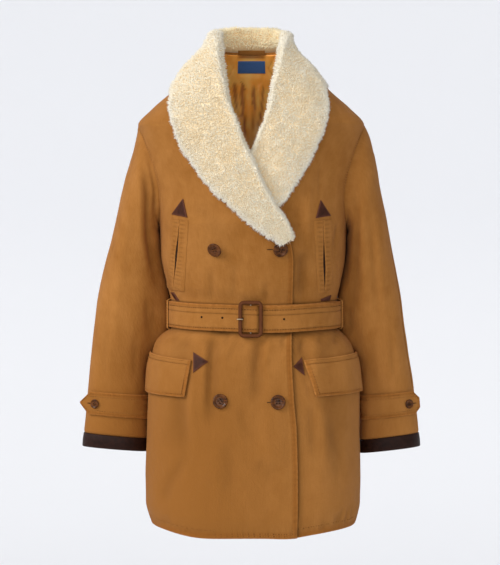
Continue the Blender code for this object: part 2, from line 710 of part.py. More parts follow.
def cuffs():
    """The leather bindings, the straps over them and their buttons."""
    for side in ("left", "right"):
        rings = []
        for around in np.arange(0, 360, 18.0):
            top = sleeve(side, around, 11.0)
            down = unit(top - sleeve(side, around, 10.9))
            out = sleeve(side, around, 11.0, 1.0) - top
            share = 0.5 + 0.5 * math.cos(math.radians(around))
            drop = BINDING_DROP_INNER + (BINDING_DROP_OUTER - BINDING_DROP_INNER) * share
            outer = [top + down * d + out * 0.5 for d in (SEAM, drop)]
            rings.append(outer + [top + down * d - out * (CANVAS + 0.5) for d in (drop, SEAM)])
        loft(f"cuff_binding_{side}", rings, True, "leather")

        def strap(u, v, out, side=side):
            high = (STRAP_LOW - STRAP_TOP) * (1 - 0.94 * np.clip((u - STRAP_SHOULDER) / STRAP_POINT, 0, 1))
            along = (STRAP_TOP + STRAP_LOW) / 2 + (v - 0.5) * high
            around = STRAP_LEAVES - np.minimum(u, 0)
            point = sleeve(side, around, along, out)
            ahead = unit(point - sleeve(side, around + 2, along, out))
            return point + ahead * np.maximum(u, 0)[:, None]

        tip = STRAP_TIP[side]
        across = [-95, -80, -65, -50, -35, -20, -10, 0, 8, STRAP_SHOULDER, tip]
        wall(f"cuff_strap_{side}", across, [0, 0.5, 1], strap, STRAP_LIFT + FLAP, STRAP_LIFT, "canvas")
        middle = np.array([0.5]), np.array([STRAP_LIFT + FLAP + SEAM])
        at = strap(np.array([STRAP_BUTTON]), *middle)[0]
        out = unit(strap(np.array([STRAP_BUTTON]), middle[0], middle[1] + 1)[0] - at)
        button(f"cuff_button_{side}", at, out, CUFF_BUTTON)


def front_buttons():
    for name, x, height in FRONT_BUTTONS:
        turn = turn_at(x, height)
        out = facing_out(ring, turn, height)
        button(f"front_button_{name}", body(turn, height, BUTTON_LIFT), out, FRONT_BUTTON)


def pockets():
    """The slanted chest pockets and the flapped hip pockets, with their leather triangles."""
    for side, place in (("left", body), ("right", under_body)):
        for piece, corners in CHEST_POCKET[side].items():
            is_leather = "patch" in piece
            thick, kind = (LEATHER, "leather") if is_leather else (WELT, "canvas")
            cells = (3, 4) if is_leather else (2, 8)
            patch(f"{piece}_{side}", corners, place, PATCH_CLEAR, thick, kind, cells)
        patch(f"hip_patch_{side}", HIP_PATCH[side], place, PATCH_CLEAR, LEATHER, "leather")

        def flap(u, v, out, side=side, place=place):
            front_x, low_x, top, low, side_top = HIP_FLAP[side]
            height = (top + (side_top - top) * u) * (1 - v) + low * v
            start = turn_at(front_x + (low_x - front_x) * v, height)
            stands = FLAP_LIFT + FLAP_STANDS * v * (1 - 0.8 * u)
            return place(start + (SIGN[side] * FLAP_END - start) * u, height, stands + out)

        wall(f"pocket_flap_{side}", np.linspace(0, 1, 8), [0, 0.35, 0.7, 1], flap, FLAP, 0, "canvas")


def belt_point(turn, out):
    """A point on the middle line of the belt's path, its unit out direction, both level."""
    base = ring(turn, np.full(np.shape(turn), BELT_MIDDLE))
    normal = unit(facing_out(ring, turn, BELT_MIDDLE) * np.array([1, 1, 0]))
    return base + normal * np.asarray(out)[..., None], normal


def belt():
    """One strip: from the bar round the back to the buckle, then over its own end to the side."""
    bar_turn = float(turn_at(BUCKLE_X, BELT_MIDDLE))
    start = float(turn_at(BUCKLE_X + 3, BELT_MIDDLE))
    bare = 360 + float(turn_at(BUCKLE_X - 28, BELT_MIDDLE))
    raised = 360 + float(turn_at(BUCKLE_X - 8, BELT_MIDDLE))
    turns = np.concatenate([
        np.linspace(start, 90, 13), np.linspace(90, 270, 25)[1:], np.linspace(270, bare, 9)[1:],
        np.linspace(bare, raised, 4)[1:], [360 + bar_turn], np.linspace(360 + start, 450, 13),
        [450 + BELT_TIP_TURN],
    ])  # fmt: skip
    outs = BELT_OUT + (BELT_THICK + CLEAR) * ease(turns, bare, raised)
    points, normals = belt_point(turns, outs)
    halves = np.zeros((len(turns), 3))
    halves[:, 2] = BELT_HEIGHT / 2
    halves[-1, 2] = 3
    strip = loft("belt", strip_of(points, normals, halves, BELT_THICK), False, "canvas")
    angles = np.linspace(0, 2 * np.pi, 8, endpoint=False)
    for number, x in enumerate(EYELETS):
        turn = turn_at(x, BELT_MIDDLE)
        out = BELT_OUT + (BELT_THICK + CLEAR) * (x > BUCKLE_X - 20)
        (low, high), _ = belt_point(np.array([turn, turn]), np.array([out - 0.7, out + 4]))
        circle = np.stack([np.cos(angles), 0 * angles, np.sin(angles)], -1) * EYELET / 2
        drill = loft(f"eyelet_{number}", [low + circle, high + circle], False, "canvas")
        drill.hide_render, drill.display_type = True, "WIRE"
        cut = strip.modifiers.new(f"eyelet_{number}", "BOOLEAN")
        cut.operation, cut.object = "DIFFERENCE", drill


def rounded_frame(width, height, corner):
    """The middle line of a rounded rectangle, as (x, z) points with their outward directions."""
    points = []
    for across, up, first in ((1, 1, 0), (-1, 1, 90), (-1, -1, 180), (1, -1, 270)):
        for angle in np.radians(np.linspace(first, first + 90, 4)):
            way = np.array([math.cos(angle), math.sin(angle)])
            middle = np.array([across * (width / 2 - corner), up * (height / 2 - corner)])
            points.append((middle + corner * way, way))
    return points


def buckle():
    """The leather-covered frame, the bar across it and the prong on its left rim."""
    turn = turn_at(BUCKLE_X, BELT_MIDDLE)
    (centre,), _ = belt_point(np.array([turn]), np.array([FRAME_OUT + BUCKLE_DEEP / 2]))
    line = rounded_frame(BUCKLE_WIDTH - BUCKLE_RIM, BUCKLE_HEIGHT - BUCKLE_RIM, 6)
    rings = []
    for (x, z), (way_x, way_z) in line:
        half = BUCKLE_RIM / 2
        rings.append([
            centre + [x + way_x * half * a, -BUCKLE_DEEP / 2 * b, z + way_z * half * a]
            for a, b in BUCKLE_SECTION
        ])  # fmt: skip
    loft("buckle_frame", rings, True, "leather")

    angles = np.linspace(0, 2 * np.pi, 8, endpoint=False)
    (middle,), _ = belt_point(np.array([turn]), np.array([BAR_OUT]))
    circle = np.stack([np.cos(angles), np.sin(angles), 0 * angles], -1) * BAR_WIDTH / 2
    reach = BUCKLE_HEIGHT / 2 - BUCKLE_RIM - SEAM
    ends = [middle + circle + [0, 0, z] for z in (-reach, reach)]
    loft("buckle_bar", ends, False, "brass")

    surface_y = centre[1] + FRAME_OUT + BUCKLE_DEEP / 2
    line = np.array([(BUCKLE_X + x, surface_y - out, centre[2]) for x, out in PRONG])
    ways = unit(np.gradient(line, axis=0))
    across, up = np.cross(ways, [0, 0, 1.0])[:, None], np.array([0, 0, 1.0])
    rings = line[:, None] + PRONG_WIDTH / 2 * (
        across * np.cos(angles)[:, None] + up * np.sin(angles)[:, None]
    )
    loft("buckle_prong", rings, False, "brass")


def loops():
    """The belt loops at the sides and the hanger loop in the neck."""
    for side, out in (("left", BELT_OUT + BELT_THICK), ("right", BELT_OUT + 2 * BELT_THICK + CLEAR)):
        turn = np.full(4, SIGN[side] * LOOP_TURN)
        outs = np.array([LOOP_TOP_OUT, out + CLEAR, out + CLEAR, LOOP_LOW_OUT])
        points, normals = belt_point(turn, outs)
        points[:, 2] += [LOOP_REACH, LOOP_REACH - 3.5, 3.5 - LOOP_REACH, -LOOP_REACH]
        halves = unit(np.cross(normals, [0, 0, 1.0])) * LOOP_WIDTH / 2
        loft(f"belt_loop_{side}", strip_of(points, normals, halves, CANVAS), False, "canvas")

    def hanger(u, v, out):
        stands = HANGER_OUT + HANGER_STANDS * (1 - u * u)
        return body(180 + HANGER_TURN * u, HANGER_TOP - HANGER_HEIGHT * v, out - stands)

    wall("hanger_loop", np.linspace(-1, 1, 9), [0, 1], hanger, 0, -CANVAS, "canvas")


def label():
    inner = -CANVAS - CLEAR - LINING - 0.7

    def place(u, v, out):
        x, height = LABEL_WIDTH * (u - 0.5), LABEL_TOP - LABEL_HEIGHT * v
        return body(turn_at(x, height, "back"), height, out)

    wall("neck_label", np.linspace(0, 1, 5), [0, 0.5, 1], place, inner, inner - 0.7, "label")


def main():
    for thing in list(bpy.data.objects):
        bpy.data.objects.remove(thing)
    fronts()
    back()
    lining()
    sleeves()
    collars()
    cuffs()
    front_buttons()
    pockets()
    belt()
    buckle()
    loops()
    label()


main()
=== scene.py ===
"""The looks of a belted, double-breasted canvas coat with a shearling shawl collar.

Sizes are in millimetres until a mesh is made, and metres after that. +X is the viewer's right, -Y the
front and +Z up. The origin is the middle of the neck opening, at the height of the back neck seam.
A place on the coat's surface is a turn (degrees from the centre front, positive to the viewer's right,
90 at the side seam and 180 at the centre back), a height at the side seam, and a distance out.
"""

import math

import bmesh
import bpy
import numpy as np
from mathutils import Matrix, Vector
from mathutils.kdtree import KDTree


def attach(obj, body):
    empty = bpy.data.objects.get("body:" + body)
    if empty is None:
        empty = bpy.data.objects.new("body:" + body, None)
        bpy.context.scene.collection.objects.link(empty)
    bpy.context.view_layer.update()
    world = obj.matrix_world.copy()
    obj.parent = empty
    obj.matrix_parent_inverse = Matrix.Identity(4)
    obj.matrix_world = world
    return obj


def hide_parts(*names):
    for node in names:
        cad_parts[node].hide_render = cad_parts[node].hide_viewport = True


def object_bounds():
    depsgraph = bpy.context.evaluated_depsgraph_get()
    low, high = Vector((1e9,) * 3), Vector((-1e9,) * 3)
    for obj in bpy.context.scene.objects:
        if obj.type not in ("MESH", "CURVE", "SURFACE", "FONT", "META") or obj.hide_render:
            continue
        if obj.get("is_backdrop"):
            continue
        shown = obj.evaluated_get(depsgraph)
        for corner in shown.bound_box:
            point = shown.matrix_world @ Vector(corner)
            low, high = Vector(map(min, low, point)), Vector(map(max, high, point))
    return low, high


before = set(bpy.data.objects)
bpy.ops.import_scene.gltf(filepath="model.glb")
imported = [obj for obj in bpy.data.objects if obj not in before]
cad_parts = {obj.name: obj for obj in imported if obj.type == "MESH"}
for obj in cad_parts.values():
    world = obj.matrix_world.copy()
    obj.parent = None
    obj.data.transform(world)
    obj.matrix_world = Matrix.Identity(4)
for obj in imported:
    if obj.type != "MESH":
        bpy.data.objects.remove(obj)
cad_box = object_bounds()

MM = 0.001
CAMERA_AWAY = 4500.0
PIXEL = 1.72  # of the photograph, at the coat's middle plane
rng = np.random.default_rng(11)

# Cloth and what it is made of, as in the CAD part
CANVAS = 1.6
SEAM_TURN = 0.1
SEAM = 0.4
CLEAR = 0.9
LOW_CLEAR = 0.5  # between a panel and what is sewn on it
LINING = 2.4
LEATHER = 1.5
FLAP = 2.4

# Neck, shoulders and hem
NECK = 4.0
SHOULDER_TIP = -127.0
ARMPIT = -298.0
HEM = -806.0
ARMHOLE_FRONT = 27.0
ARMHOLE_BACK = 25.0
ARMHOLE_CENTRE = (SHOULDER_TIP + ARMPIT) / 2
ARMHOLE_HALF = (SHOULDER_TIP - ARMPIT) / 2
SLEEVE_SEAM_TURN = 0.18
LAP = 1.2  # degrees that the back reaches under the fronts
SINK = 3.4
DEEP_SINK = 3.0
COLLAR_SINK = 10.0
HEM_SAGS = ((-92, 48, 4.6), (66, 34, 3.2))  # x, width and depth of the front hem's dips

# Stitches, and puckers along them
EDGE_SEAMS = (4.5, 8.3)  # from the front edge
ARMHOLE_SEAMS = (3.0, 7.0)
ARMHOLE_SEAM_HEIGHTS = np.linspace(SHOULDER_TIP - 4, ARMPIT + 3, 60)
HEM_SEAM = 15.0
PUCKER = 0.16  # how dark the painted shade in puckers is

# Belt and buckle
BELT_HEIGHT = 45.0
BELT_MIDDLE = -450.0
BELT_THICK = 2.4
BELT_OUT = 2.6
BELT_TIP_TURN = 9.0
BELT_ROWS = (15.5, -17.5)  # its stitches
BELT_SEAM = 7.0  # where it is folded and joined
EYELETS = (-82, -48, -14.5, 53)
BUCKLE_X = -1.5
BUCKLE_WIDTH = 41.0
BUCKLE_HEIGHT = 62.0
BUCKLE_RIM = 6.4
BUCKLE_DEEP = 4.4
FRAME_OUT = 10.0
LOOP_TURN = 80.0
LOOP_WIDTH = 10.0
LOOP_REACH = 27.0
LOOP_TOP_OUT = 1.6
LOOP_LOW_OUT = 4.6

# Buttons
FRONT_BUTTON = 25.0
CUFF_BUTTON = 16.0
BUTTON_THICK = 0.17
BUTTON_LIFT = 1.4
FRONT_BUTTONS = [
    ("upper_left", -60, -339),
    ("upper_right", 47.5, -339),
    ("lower_left", -52, -586),
    ("lower_right", 44, -587),
]
TILTED = {"upper_left": (-0.26, 0.0, -0.58), "upper_right": (0.05, 0.0, -0.25)}
BUTTONHOLE = (26, 36)  # from x to x

# Cuff straps, on the sleeve's rings
STRAP_TOP = 9.23
STRAP_LOW = 10.15
STRAP_LIFT = 1.8
STRAP_LEAVES = 55.0
STRAP_SHOULDER = 16.0
STRAP_POINT = 18.0
STRAP_TIP = {"left": 34.0, "right": 27.0}
STRAP_BUTTON = 4.0

# Pockets: corners as (x, height), upper then lower
CHEST_POCKET = {
    "left": {
        "chest_patch_upper": [(-116.2, -256), (-115, -256), (-135, -281), (-107.5, -287)],
        "chest_welt_front": [(-119.5, -291), (-106, -292), (-131, -408), (-113, -409)],
        "chest_welt_side": [(-135, -289), (-122.5, -291), (-146, -405), (-134, -408)],
        "chest_patch_lower": [(-137, -412), (-131, -412), (-128, -425), (-121.5, -425)],
    },
    "right": {
        "chest_patch_upper": [(116, -258), (117.2, -258), (108, -288), (133.5, -283.5)],
        "chest_welt_front": [(105, -292), (119, -291), (111.5, -412), (121.5, -410)],
        "chest_welt_side": [(122, -291), (135, -289), (124.5, -410), (138, -407)],
        "chest_patch_lower": [(116, -421), (134.5, -415.5), (117.5, -425), (132, -425)],
    },
}
POCKET_MOUTH = {
    "left": [(-124.0, -293), (-118.0, -293), (-134.5, -400), (-129.0, -400)],
    "right": [(117.5, -293), (123.5, -293), (120.0, -402), (126.0, -402)],
}
HIP_PATCH = {
    "left": [(-98.4, -507), (-73.5, -521), (-98.4, -541.5), (-73.5, -522.2)],
    "right": [(71, -528.4), (86, -513), (71, -529.6), (90, -545)],
}
# Hip flaps: their front edge's x above and below, top, bottom, and top at the side
HIP_FLAP = {
    "left": (-101, -112, -520.5, -583, -515),
    "right": (88, 106, -519, -581, -515),
}
FLAP_END = 88.0
FLAP_LIFT = 3.0
FLAP_STANDS = 3.0
FLAP_SEAM = 7.5  # under its upper edge

# In the neck
HANGER_TURN = 26.0
HANGER_TOP = 7.0
HANGER_HEIGHT = 5.0
HANGER_OUT = 5.7
HANGER_STANDS = 5.8
LABEL_WIDTH = 50.0
LABEL_TOP = -8.5
LABEL_HEIGHT = 21.0


class Table:
    """Sizes in named columns, a row for each section. Between rows, a column is a smooth curve."""

    def __init__(self, names, rows):
        rows = np.array(sorted(rows), float).T
        self.columns = dict(zip(names.split(), rows, strict=True))
        self.keys = rows[0]

    def at(self, name, key):
        values, keys = self.columns[name], self.keys
        step = np.diff(keys)
        rise = np.diff(values) / step
        slope = np.zeros(len(keys))
        before, after = rise[:-1], rise[1:]
        same = before * after > 0
        slope[1:-1][same] = 2 * before[same] * after[same] / (before[same] + after[same])
        slope[0], slope[-1] = rise[0], rise[-1]
        key = np.clip(np.asarray(key, float), keys[0], keys[-1])
        i = np.clip(np.searchsorted(keys, key, side="right") - 1, 0, len(step) - 1)
        t = (key - keys[i]) / step[i]
        start, end = values[i], values[i + 1]
        curve = start * (1 + 2 * t) * (1 - t) ** 2 + end * t * t * (3 - 2 * t)
        return curve + step[i] * (slope[i] * t * (1 - t) ** 2 - slope[i + 1] * t * t * (1 - t))


# The coat's rings from the neck to the hem. square is the ring's squareness, 2 being an ellipse, and
# the drops are how much lower than the side seam the ring hangs at the centre front and back.
BODY = Table(
    "height half_width middle front back square front_drop back_drop",
    [
        (4, 58, 0, 46, 62, 2.1, 0, 0),
        (-20, 84, 0, 58, 71, 2.2, 0, 0),
        (-48, 115, 0, 70, 81, 2.3, 0, 0),
        (-72, 140, 0, 79, 88, 2.4, 0, 0),
        (-99, 171, 0, 88, 94, 2.4, 0, 0),
        (-127, 194.5, 0, 96, 99, 2.4, 0, 0),
        (-150, 191, 0, 103, 102, 2.4, 0, 0),
        (-177, 185, 0, 110, 105, 2.4, 0, 0),
        (-212, 176, 0, 117, 107, 2.4, 0, 0),
        (-250, 166, 0, 122, 107, 2.4, 0, 0),
        (-298, 160, 1, 125, 106, 2.35, 1, 0),
        (-350, 158, 1.5, 124, 103, 2.3, 3, 1),
        (-400, 149, 3.5, 118, 98, 2.3, 6, 2),
        (-427, 143, 4, 108, 92.5, 2.3, 8, 3),
        (-473, 143, 4, 107, 92.5, 2.3, 8, 3),
        (-484, 156, 3, 114, 99, 2.3, 8, 3),
        (-497, 167, 3, 119, 104, 2.35, 8, 3),
        (-515, 174, 3.5, 124, 110, 2.4, 9, 4),
        (-540, 179, 4, 128, 116, 2.45, 9, 4),
        (-585, 182, 4.5, 132, 122, 2.5, 10, 5),
        (-650, 182.5, 4, 136, 127, 2.5, 12, 6),
        (-729, 185, 3, 140, 131, 2.5, 15, 8),
        (-770, 184.5, 2, 141, 132, 2.5, 17, 9),
        (-806, 175, 2.5, 138, 131, 2.5, 18, 10),
    ],
)

# Where the fronts end: the neckline that the collar covers, then the front edge.
OVER_EDGE = Table(
    "height x",
    [
        (4, -54), (-36, -51.5), (-68, -46.5), (-100, -41), (-131, -28), (-169, -12), (-203, 4),
        (-252, 28), (-289, 51), (-321, 64), (-360, 70.5), (-430, 69), (-505, 67.5), (-582, 71),
        (-640, 76), (-740, 78), (-809, 76.5),
    ],
)
UNDER_EDGE = Table(
    "height x",
    [
        (4, 54), (-36, 46.5), (-85, 35.5), (-123, 27), (-147, 17.5), (-177, 4), (-203, -8),
        (-252, -32), (-289, -54), (-321, -66), (-360, -71), (-430, -72), (-809, -76),
    ],
)

# The largest folds. Their columns are: facing, x and height of the upper end, x and height of the
# lower end, depth and width. A negative depth is a trough.
FOLDS = [
    ("front", -64, -478, -70, -640, -5.0, 13),
    ("front", 14, -478, 8, -600, -4.0, 12),
    ("front", 88, -478, 92, -560, -4.0, 11),
    ("front", 88, -340, 86, -424, -4.5, 12),
    ("front", -118, -480, -126, -700, -3.5, 22),
    ("front", 132, -480, 140, -720, -3.5, 22),
    ("back", -60, -478, -72, -660, -5.0, 15),
    ("back", 52, -478, 66, -700, -5.0, 15),
    ("back", -4, -478, -2, -620, -3.5, 14),
    ("back", -88, -300, -74, -424, -4.0, 15),
    ("back", 80, -280, 70, -424, -4.0, 15),
]

# Each sleeve's rings, from the armhole (0) to the top of the cuff binding. seam is how far the outer
# seam is turned to the front, in degrees.
SLEEVE_COLUMNS = "ring outer_x outer_height inner_x inner_height deep middle_y seam"
SLEEVES = {
    "right": Table(
        SLEEVE_COLUMNS,
        [
            (0, 194.5, -127, 161.0, -298, 55, 0, 0),
            (1, 203, -148, 163.5, -303, 59, 3, -8),
            (2, 213, -188, 165.0, -310, 61, 6, -10),
            (3, 223, -241, 163.0, -321, 62, 10, -4),
            (4, 232, -283, 163.2, -338, 61, 14, 5),
            (5, 245, -356, 158.0, -380, 58, 20, 12),
            (6, 259, -428, 154.5, -434, 55, 27, 17),
            (7, 267, -482, 165.0, -486, 52, 33, 20),
            (8, 273.5, -525, 181.0, -530, 49, 39, 20),
            (9, 281, -573, 186.0, -580, 46, 44, 20),
            (10, 286.5, -617, 187.0, -628, 44, 46, 20),
            (11, 290.5, -656, 187.0, -669, 42, 46, 20),
        ],
    ),
    "left": Table(
        SLEEVE_COLUMNS,
        [
            (0, 194.5, -127, 159.0, -298, 55, 0, 0),
            (1, 199, -150, 161.5, -303, 59, 3, -4),
            (2, 208, -187, 163.0, -310, 61, 6, -8),
            (3, 222, -236, 161.2, -321, 62, 10, -8),
            (4, 233, -285, 160.5, -338, 61, 14, -8),
            (5, 250.5, -356, 152.5, -380, 58, 20, -8),
            (6, 265, -424, 146.5, -434, 55, 27, -8),
            (7, 273, -480, 159.5, -486, 52, 33, -8),
            (8, 278, -525, 172.5, -530, 49, 39, -8),
            (9, 282.5, -573, 176.0, -580, 46, 44, -8),
            (10, 287, -617, 177.0, -626, 44, 46, -8),
            (11, 291, -656, 178.0, -666, 42, 46, -8),
        ],
    ),
}
SIGN = {"left": -1, "right": 1}
BINDING_DROP_OUTER = 24.0
BINDING_DROP_INNER = 23.0
# Rings of a sleeve, and how far out its flank is there: it touches the waist
CLOSER = {
    "left": ((0.5, 1.0, 3, 5, 6, 6.5, 6.9, 7.4, 8), (0, 4.0, 4.0, 5.0, 9.5, 14.0, 17.5, 12.0, 0)),
    "right": ((0.5, 1.0, 3, 5, 6, 6.5, 6.9, 7.4, 8), (0, 4.0, 4.0, 4.5, 7.5, 11.0, 14.5, 10.0, 0)),
}

# The collar from the centre back to its front tip. roll is where it leaves the neckline, edge is its
# outer edge, stand is how high it stands above the neckline, upright is how near to vertical it
# stands, inside is how far its wool reaches past the cloth's inner side, thick is the wool's reach,
# thin is the part of it that is lost on the way to the outer edge.
BACK_COLLAR_COLUMNS = "turn edge_height stand upright inside thick lift thin"
BACK_COLLAR = {
    "left": Table(
        BACK_COLLAR_COLUMNS,
        [
            (90, -58, 25, 1, 8, 17, 1, 0.68),
            (120, -62, 32, 1, 11, 18, 0.4, 0.5),
            (150, -62, 38, 1, 13, 18, 0, 0.3),
            (180, -60, 39, 1, 13, 18, 0, 0.3),
        ],
    ),
    "right": Table(
        BACK_COLLAR_COLUMNS,
        [
            (90, -58, 23, 1, 8, 11, 1, 0.5),
            (120, -62, 30, 1, 11, 14, 0.4, 0.5),
            (150, -62, 37, 1, 13, 17, 0, 0.3),
            (180, -60, 39, 1, 13, 18, 0, 0.3),
        ],
    ),
}
FRONT_COLLAR_COLUMNS = "station roll_x roll_height edge_x edge_height stand upright inside thick lift thin"
OVER_COLLAR = Table(
    FRONT_COLLAR_COLUMNS,
    [
        (-1, -57, 4, -131, -71, 25, 1, 5, 17, 1.4, 0.6),
        (0, -54, 4, -131, -84, 24, 0.95, 4, 17, 2, 0.45),
        (1, -52.5, -14, -131.5, -103, 20, 0.8, 5, 17, 2.8, 0.3),
        (2, -51.5, -36, -129, -124, 14, 0.55, 5, 18, 3, 0.2),
        (3, -46.5, -68, -121, -146, 7, 0.3, 7, 18, 3, 0.2),
        (4, -41, -100, -109, -173, 3, 0.1, 6, 18, 2.4, 0.2),
        (5, -28, -131, -96, -192, 1, 0, 5, 18, 1.4, 0.2),
        (6, -12, -169, -79, -219, 0, 0, 3, 18, 0.4, 0.2),
        (7, 4, -203, -58, -243, 0, 0, 0, 17, 0, 0.2),
        (8, 16, -230, -38, -262, 0, 0, 0, 17, 0, 0.2),
        (9, 28, -252, -17, -281, 0, 0, 0, 16, 0, 0.2),
        (10, 41, -275, 3, -299, 0, 0, 0, 15, 0, 0.2),
        (11, 52, -291, 21, -311, 0, 0, 0, 14, 2, 0.2),
        (12, 60, -308, 37, -321, 0, 0, 0, 12, 4, 0.2),
        (13, 64.5, -322, 50, -330, 0, 0, 0, 9, 5, 0.2),
    ],
)
UNDER_COLLAR = Table(
    FRONT_COLLAR_COLUMNS,
    [
        (-1, 57, 4, 124, -69, 23, 1, 5, 11, 1, 0.5),
        (0, 54, 4, 124, -83, 22, 0.95, 4, 12, 1.6, 0.4),
        (1, 50.5, -16, 124, -103, 19, 0.8, 5, 14, 2.4, 0.3),
        (2, 46.5, -36, 121, -120, 14, 0.55, 5, 17, 2.8, 0.25),
        (3, 41, -60, 115, -139, 7, 0.3, 7, 18, 3, 0.2),
        (4, 35.5, -85, 107, -159, 3, 0.1, 6, 18, 2.4, 0.2),
        (5, 30.5, -110, 97, -179, 1, 0, 5, 18, 1.4, 0.2),
        (6, 17.5, -147, 83, -207, 0, 0, 4, 18, 0.4, 0.2),
        (7, 4, -177, 68, -232, 0, 0, 2, 17, 0, 0.2),
        (8, -8, -203, 54, -254, 0, 0, 0, 16, 0, 0.2),
        (9, -18, -224, 40, -268, 0, 0, 0, 12, 0, 0.2),
    ],
)
COLLAR_SIZES = ("stand", "inside", "thick", "lift", "thin")
COLLAR_STEPS = (0.2, 0.4, 0.6, 0.8, 1.0)  # parts of the way from the neckline to the edge
COLLAR_CLEAR = 2.4  # between the collar and the panels, whose flat cells cut across their curve
ROLL_GAP = 1.3  # between the collar and the panels' upper edge


# Creases drawn one by one: depth (a trough is negative), width, then the points (x, height) of its line.
FRONT_CREASES = [
    (-2.4, 5, (-64, -483), (-66, -510), (-69, -551), (-70, -575), (-73, -606)),
    (1.8, 7, (-75, -486), (-80, -526), (-81, -585), (-86, -644)),
    (-1.8, 5, (17, -486), (12, -515), (8, -540), (2, -568)),
    (-1.2, 6, (-20, -480), (-30, -512), (-46, -540)),
    (-1.0, 7, (36, -520), (20, -545), (10, -580)),
    (0.9, 9, (-110, -575), (-95, -640), (-92, -700)),
    (-0.9, 9, (-128, -590), (-118, -640), (-116, -690)),
    (-1.0, 8, (-20, -600), (-8, -640), (10, -668)),
    (0.9, 10, (30, -610), (26, -660), (34, -700)),
    (1.4, 7, (28, -489), (24, -526), (17, -568)),
    (-2.6, 4, (86, -483), (86, -501), (85, -521)),
    (-1.8, 4, (91, -553), (95, -573), (100, -597)),
    (-2.5, 4, (144, -478), (143, -501)),
    (-1.6, 5, (-39, -481), (-41, -503)),
    (-1.4, 5, (-14, -494), (-16, -513)),
    (-1.8, 5, (54, -483), (56, -510)),
    (-2, 4, (118, -478), (116, -501)),
    (-1.6, 4, (-110, -481), (-111, -506)),
    (-1.4, 4, (-130, -478), (-133, -498)),
    (1.8, 8, (-98, -556), (-100, -602), (-105, -660)),
    (-2.2, 9, (-152, -771), (-140, -734), (-120, -702), (-103, -680)),
    (-1.6, 14, (6, -697), (31, -714), (53, -704)),
    (-1.6, 12, (-43, -660), (-34, -711), (-38, -761)),
    (1.4, 14, (-66, -677), (-73, -744)),
    (-2.2, 8, (100, -600), (103, -644), (106, -697)),
    (1.5, 8, (118, -602), (125, -660), (126, -727)),
    (-1.8, 9, (141, -627), (148, -685), (145, -744)),
    (-2.6, 4, (88, -349), (87, -392), (86, -433)),
    (-1.7, 6, (26, -396), (26, -434)),
    (-1.8, 4, (-67, -376), (-66, -433)),
    (1.0, 6, (-81, -362), (-81, -426)),
    (-1.5, 8, (-26, -362), (-28, -433)),
    (-2.2, 3.5, (146, -297), (143, -319), (140, -340)),
    (-1.4, 2.5, (115, -198), (115, -257)),
    (1.4, 6, (101, -208), (96, -275), (95, -342)),
    (-1.5, 9, (78, -267), (81, -317)),
    (-1.3, 12, (-93, -267), (-43, -322)),
    (-2.6, 3, (149, -803), (156, -774)),
    (1.4, 2.6, (153.5, -803), (160, -776)),
    (-2.6, 3, (158, -803), (165, -773)),
    (1.3, 2.6, (162.5, -800), (168.5, -776)),
    (-2.0, 3, (142, -806), (146, -782)),
    (-2.0, 3, (167, -796), (172, -774)),
    (-1.2, 4, (120, -813), (125, -794)),
    (-1.2, 5, (-148, -808), (-143, -793)),
    (-1.0, 5, (-106, -819), (-105, -804)),
]
BACK_CREASES = [
    (-3, 5, (-60, -482), (-66, -540), (-71, -610)),
    (-3, 5, (52, -482), (57, -560), (64, -650)),
    (1.8, 8, (-40, -484), (-44, -560)),
    (-2, 5, (-4, -482), (-3, -560)),
    (1.6, 8, (28, -484), (33, -570)),
    (-2, 4, (100, -482), (104, -540)),
    (-2, 4, (-108, -482), (-112, -535)),
    (-1.6, 4, (132, -480), (137, -515)),
    (-2.6, 5, (-96, -300), (-82, -360), (-74, -424)),
    (-2.4, 5, (86, -290), (76, -350), (70, -424)),
    (-1.8, 5, (22, -350), (18, -424)),
    (-1.8, 5, (-26, -360), (-24, -424)),
    (-2.2, 6, (-150, -250), (-128, -285), (-104, -300)),
    (-2.2, 6, (150, -245), (130, -282), (108, -296)),
    (1.6, 9, (-140, -220), (-112, -262)),
    (1.6, 9, (142, -216), (114, -258)),
    (-1.4, 12, (-40, -150), (10, -165), (60, -150)),
    (-1.6, 11, (-30, -640), (-20, -720), (-28, -780)),
    (-1.6, 11, (110, -600), (118, -680), (112, -760)),
    (-1.5, 3, (-150, -800), (-155, -775)),
    (-1.4, 3, (148, -800), (153, -776)),
    (-1.2, 4, (-60, -808), (-57, -790)),
    (-1.2, 4, (40, -808), (38, -790)),
]
